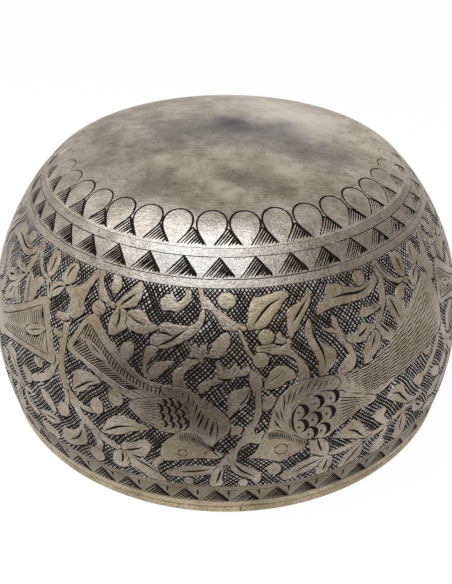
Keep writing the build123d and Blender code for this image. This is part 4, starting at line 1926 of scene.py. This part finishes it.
@dataclass
class Frieze:
    """A quarter of the broad frieze of birds, leaves and buds on a cross-hatched ground."""

    form: BowlForm
    low: float = -43.0  # its left side, in degrees
    width: float = FULL_TURN / PANELS
    top: float = 0.06
    foot: float = 42.6
    margin: float = 0.5  # of the drawing past both sides
    clear: float = 0.8  # between the upper and lower edges and the free points
    lift: float = 0.3  # from where the points below were read to where the drawing sits
    error: float = 0.1  # of the hand along the motifs' outlines
    seed: int = 14
    bend_spacing: float = 0.8
    sink: float = 0.035
    hatching: Hatching = Hatching()
    stems: tuple[Blob | Stem, ...] = STEMS
    leaves: tuple[Blob | Bud, ...] = LEAVES
    birds: tuple[LeftBird | RightBird, ...] = (LeftBird(), RightBird())
    birds_beside: tuple[LeftBird | RightBird, ...] = (LeftBird(), RightBird(FAN_TAIL))

    def motifs(self) -> list[Motif]:
        """Draws every motif of one panel, with those that reach in from the panels beside it.

        Returns:
            The motifs, where they sit.
        """
        hand = random.Random(self.seed)
        plants = [shape.motif().roughened(hand, self.error) for shape in (*self.stems, *self.leaves)]
        own = [motif for bird in self.birds for motif in bird.motifs()]
        beside = [motif for bird in self.birds_beside for motif in bird.motifs()]
        placed = [(motif, shift) for motif in plants for shift in (-self.width, 0.0, self.width)]
        placed += [(motif, shift) for motif in beside for shift in (-self.width, self.width)]
        placed += [(motif, 0.0) for motif in own]
        panel: list[Motif] = []
        for motif, shift in placed:
            left, right = motif.span()
            if right + shift > self.low - self.margin and left + shift < self.low + self.width + self.margin:
                panel.append(motif.shifted(shift, -self.lift))
        return panel

    def ground(self, motifs: Sequence[Motif]) -> Cuts:
        """Hatches the ground, pocket by pocket between the motifs.

        Args:
            motifs: those of the panel.

        Returns:
            The outline of each cut.
        """
        boxes: list[tuple[float, float, float, float, Path]] = []
        for motif in motifs:
            downs = [y for _, y in motif.outline]
            boxes.append((*motif.span(), min(downs), max(downs), motif.outline))

        def covered(point: Point) -> bool:
            """Tells whether a motif lies over a point.

            Args:
                point: the point that is asked about.

            Returns:
                Whether one does.
            """
            x, y = point
            return any(
                left < x < right and upper < y < lower and holds(outline, point)
                for left, right, upper, lower, outline in boxes
            )

        hand = random.Random(self.hatching.seed)
        cuts: Cuts = []
        high = self.low + self.width
        for line in self.hatching.lines(self.low, self.width, self.foot):
            run: list[Point] = []
            for point in [*line, (math.inf, 0.0)]:
                outside = not self.low - self.margin < point[0] < high + self.margin
                if outside or covered(point):
                    if len(run) > 2:
                        cuts.append(self.hatching.cut(run, hand))
                    run = []
                else:
                    run.append(point)
        return cuts

    def build(self) -> BMesh:
        """Draws one panel, cuts it and wraps it at the front.

        Returns:
            The panel, with material 2 on its ground.
        """
        strip = Strip(self.low, self.low + self.width, self.top, self.foot)
        drawing = Drawing(strip.limits(), sink=self.sink, ground_finish=2)
        drawing.motifs = self.motifs()
        drawing.ground = self.ground(drawing.motifs)
        drawing.bends = [
            point for point in strip.grid(self.clear, self.bend_spacing, self.bend_spacing)
            if any(holds(motif.outline, point) for motif in drawing.motifs)
        ]
        return wrapped(drawing.cut(open_sides=True), self.form.on_strip)


@dataclass
class RimHoop:
    """The wire hoop at the mouth, worn smooth."""

    low: Vector
    high: Vector
    width: float = 1.8
    rounding: float = 0.4
    turns: int = 240

    def build(self) -> BMesh:
        """Spins the wire's rounded section round the mouth.

        Returns:
            The hoop.
        """
        outer = self.high.x / MM
        inner = outer - self.width
        foot = self.low.z / MM
        top = self.high.z / MM
        shape = bmesh.new()
        corners = ((inner, foot), (outer, foot), (outer, top), (inner, top))
        ring = [shape.verts.new((x * MM, 0, z * MM)) for x, z in corners]
        shape.faces.new(ring)
        bmesh.ops.bevel(shape, geom=ring, offset=self.rounding * MM, offset_type="OFFSET", segments=4,
                        profile=0.5, affect="VERTICES", material=-1)
        section = shape.faces[:][0]
        edges = section.edges[:]
        verts = section.verts[:]
        bmesh.ops.delete(shape, geom=[section], context="FACES_ONLY")
        bmesh.ops.spin(shape, geom=verts + edges, cent=(0, 0, 0), axis=(0, 0, 1), angle=math.tau,
                       steps=self.turns, use_merge=True)
        bmesh.ops.recalc_face_normals(shape, faces=shape.faces)
        for face in shape.faces:
            face.smooth = True
        return shape


@dataclass(frozen=True)
class RoomPatch:
    """A part of the room that is lighter or darker than the rest, with a soft edge."""

    azimuth: float  # degrees, 0 towards the camera and 90 to its right
    elevation: float
    inner: float  # degrees from its middle to where it starts to fade
    outer: float
    level: float

    def direction(self) -> Vector:
        """Points to the patch's middle.

        Returns:
            A vector of length 1.
        """
        turn = math.radians(self.azimuth)
        rise = math.radians(self.elevation)
        return Vector((math.sin(turn) * math.cos(rise), -math.cos(turn) * math.cos(rise), math.sin(rise)))


@dataclass(frozen=True)
class Lamp:
    """A soft lamp, in mm and watts."""

    name: str
    place: tuple[float, float, float]
    aim: tuple[float, float, float]
    size: tuple[float, float]
    power: float
    colour: str


@dataclass
class Studio:
    """Camera, light and floor of a plain pale studio."""

    focal_px: float = 620.0
    camera_distance: float = 139.9  # mm in front of the bowl's axis
    camera_height: float = 113.6
    camera_pitch: float = 34.95
    sensor: float = 36.0
    floor_size: float = 3000.0
    floor_drop: float = 0.05  # keeps it clear of the underside of the rim
    floor_glow: float = 0.95
    mirror_glow: float = 0.26  # the same in reflections, where the bowl's own shade on the floor shows
    # A dark card out of the picture, painted shade for the shaded floor in front of the bowl
    card: tuple[float, float, float, float] = (-190, 150, -520, -112)  # left, right, front and back, in mm
    window: Lamp = Lamp("key_window", (-120, -205, 470), (0, -20, 45), (660, 400), 2.85, "#E8F1FF")
    paper_colour: str = "#F4F2EE"
    # Colour of the painted shade card
    painted_shade_colour: str = "#2E2B28"
    room_colour: str = "#F6F3EE"
    room_level: float = 0.71
    patches: tuple[RoomPatch, ...] = (
        RoomPatch(162, 4, 10, 38, 1.15),
        RoomPatch(-90, 4, 12, 55, 1.2),
        RoomPatch(75, 35, 10, 60, 0.62),
        RoomPatch(-18, -2, 12, 48, 0.16),
    )

    def build(self) -> None:
        """Makes everything in the studio."""
        self.camera()
        self.floor()
        self.painted_shade_card()
        self.light()
        self.world()
        bpy.context.scene.view_settings.view_transform = "Standard"

    def camera(self) -> None:
        """Puts the camera where the photograph was taken from."""
        lens = bpy.data.cameras.new("camera")
        lens.sensor_width = self.sensor
        lens.lens = self.focal_px / IMAGE_HEIGHT * self.sensor
        lens.clip_start = MM
        camera = bpy.data.objects.new("camera", lens)
        camera.location = (0, -self.camera_distance * MM, self.camera_height * MM)
        camera.rotation_euler = (math.radians(90 - self.camera_pitch), 0, 0)
        bpy.context.scene.collection.objects.link(camera)
        bpy.context.scene.camera = camera

    def floor(self) -> None:
        """Lays a white floor that still takes the bowl's shadow."""
        shape = bmesh.new()
        lowered = Matrix.Translation((0, 0, -self.floor_drop * MM))
        half = self.floor_size * MM / 2
        bmesh.ops.create_grid(shape, x_segments=2, y_segments=2, size=half, matrix=lowered)
        material, tree, output = blank_material("white_paper")
        paper = add_node(tree, "ShaderNodeBsdfDiffuse", Color=linear(self.paper_colour))
        glow = add_node(tree, "ShaderNodeEmission", Color=linear(WHITE), Strength=1.0)
        rays = add_node(tree, "ShaderNodeLightPath")
        mirrored = add_node(tree, "ShaderNodeMath", {"operation": "MAXIMUM"},
                            _0=rays.outputs["Is Glossy Ray"], _1=rays.outputs["Is Transmission Ray"])
        direct = add_node(tree, "ShaderNodeMath", {"operation": "MULTIPLY"},
                          _0=rays.outputs["Is Camera Ray"], _1=self.floor_glow)
        share = add_node(tree, "ShaderNodeMath", {"operation": "MULTIPLY_ADD"},
                         _0=mirrored.outputs[0], _1=self.mirror_glow, _2=direct.outputs[0])
        seen = add_node(tree, "ShaderNodeMixShader", _0=share.outputs[0], _1=paper.outputs[0],
                        _2=glow.outputs[0])
        tree.links.new(seen.outputs[0], output.inputs["Surface"])
        floor = made_object("floor", shape, (material,))

    def painted_shade_card(self) -> None:
        """Lays a dark card under the camera, out of the picture: painted shade that stands for the shaded
        floor in front of the bowl, seen only in the bowl's reflections.
        """
        left, right, front, back = (side * MM for side in self.card)
        shape = bmesh.new()
        corners = ((left, front), (right, front), (right, back), (left, back))
        shape.faces.new([shape.verts.new((x, y, MM / 2)) for x, y in corners])
        material, tree, output = blank_material("painted_shade_card")
        painted_shade = add_node(tree, "ShaderNodeBsdfDiffuse", Color=linear(self.painted_shade_colour))
        tree.links.new(painted_shade.outputs[0], output.inputs["Surface"])
        card = made_object("painted_shade_card", shape, (material,))
        card.visible_camera = False
        card.visible_diffuse = False
        card.visible_shadow = False

    def light(self) -> None:
        """Hangs the soft lamp, which stands for a window."""
        window = self.window
        lamp = bpy.data.lights.new(window.name, "AREA")
        lamp.shape = "RECTANGLE"
        lamp.size, lamp.size_y = (side * MM for side in window.size)
        lamp.energy = window.power
        lamp.color = linear(window.colour)[:3]
        light = bpy.data.objects.new(window.name, lamp)
        light.location = Vector(window.place) * MM
        light.rotation_euler = (Vector(window.aim) - Vector(window.place)).to_track_quat("-Z", "Y").to_euler()
        bpy.context.scene.collection.objects.link(light)

    def world(self) -> None:
        """Fills the room with pale light, and with the darker parts that the metal shows."""
        world = bpy.data.worlds.new("room")
        world.use_nodes = True
        tree = world.node_tree
        tree.nodes.clear()
        way = add_node(tree, "ShaderNodeTexCoord").outputs["Generated"]
        level: float | NodeSocket = self.room_level
        for patch in self.patches:
            near = add_node(tree, "ShaderNodeVectorMath", {"operation": "DOT_PRODUCT"}, _0=way,
                            _1=patch.direction())
            share = add_node(tree, "ShaderNodeMapRange", {"interpolation_type": "SMOOTHSTEP"},
                             Value=near.outputs["Value"], From_Min=math.cos(math.radians(patch.outer)),
                             From_Max=math.cos(math.radians(patch.inner)))
            blend = add_node(tree, "ShaderNodeMix", _0=share.outputs["Result"], _2=level, _3=patch.level)
            level = blend.outputs[0]
        sky = add_node(tree, "ShaderNodeBackground", Color=linear(self.room_colour), Strength=level)
        white = add_node(tree, "ShaderNodeBackground", Color=linear(WHITE), Strength=1.0)
        rays = add_node(tree, "ShaderNodeLightPath")
        seen = add_node(tree, "ShaderNodeMixShader", _0=rays.outputs["Is Camera Ray"], _1=sky.outputs[0],
                        _2=white.outputs[0])
        output = tree.nodes.new("ShaderNodeOutputWorld")
        tree.links.new(seen.outputs[0], output.inputs["Surface"])
        bpy.context.scene.world = world


def main() -> None:
    """Builds the bowl's pieces in order, then the studio."""
    logging.basicConfig(level=logging.INFO, format="%(name)s %(message)s")
    low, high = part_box("bowl_body")
    form = BowlForm(belly_radius=high.x / MM, height=high.z / MM, seat_height=low.z / MM)
    dark = smudged(form.on_strip, WALL_STAINS)
    silver = AgedSilver("wall_silver", "#B3A897", "#998A75", 7.0, smudges=dark).build()
    scraped = AgedSilver("ground_silver", "#C4C0B9", "#A19C94", 5.0, stain_share=0.3, smudges=dark).build()
    highlight_tints = smudged(form.on_strip, SHOULDER_HIGHLIGHT_TINTS)
    # The shoulder's metal carries the painted highlight tint at its front
    worn = AgedSilver("shoulder_silver", "#AEA69A", "#958B7D", 6.0, smudges=highlight_tints).build()
    spotted = smudged(form.on_crown, BASE_STAINS) + highlight_tints
    pale = AgedSilver("base_silver", "#C2B9AA", "#9C9181", 7.0, stain_share=0.65, pit_share=0.5,
                      scratch_share=0.45, smudges=spotted).build()
    # Darker brown metal on the rim border: partly tarnish, partly painted shade from the shaded floor it
    # reflects
    brown = AgedSilver("rim_silver", "#8B7E6C", "#6E6149", 8.0).build()
    # Brighter metal on the hoop and the strip above it: a painted reflection of the white floor
    bright = AgedSilver("hoop_painted_reflection_silver", "#C3B295", "#A39172", 8.0).build()
    black = BlackedCut().build()
    solder = OldSolder().build()
    finished("bowl_core", Core(form).build(), (silver, black), ("bowl_body",))
    finished("crown", Crown(form).build(), (pale, black), ("bowl_body",))
    finished("shoulder_border", ShoulderBorder(form).build(), (worn, black), ("bowl_body",))
    waved = Frieze(form)
    fanned = Frieze(form, birds=waved.birds_beside, birds_beside=waved.birds)
    panels = (waved.build(), fanned.build())
    for number in range(PANELS):
        panel = panels[number % 2].copy()
        turn = Matrix.Rotation(math.tau * number / PANELS, 3, "Z")
        bmesh.ops.rotate(panel, verts=panel.verts, cent=(0, 0, 0), matrix=turn)
        finished(f"frieze_{number + 1}", panel, (silver, black, scraped), ("bowl_body",))
    for panel in panels:
        panel.free()
    finished("rim_border", RimBorder(form).build(), (brown, black, bright), ("bowl_body",))
    finished("rim_hoop", RimHoop(*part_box("rim_wire")).build(), (bright,), ("rim_wire",))
    for name in ("rim_solder", "rim_joint_solder"):
        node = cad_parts[name]
        node.data.materials.clear()
        node.data.materials.append(solder)
    Studio().build()


if __name__ == "__main__":
    main()
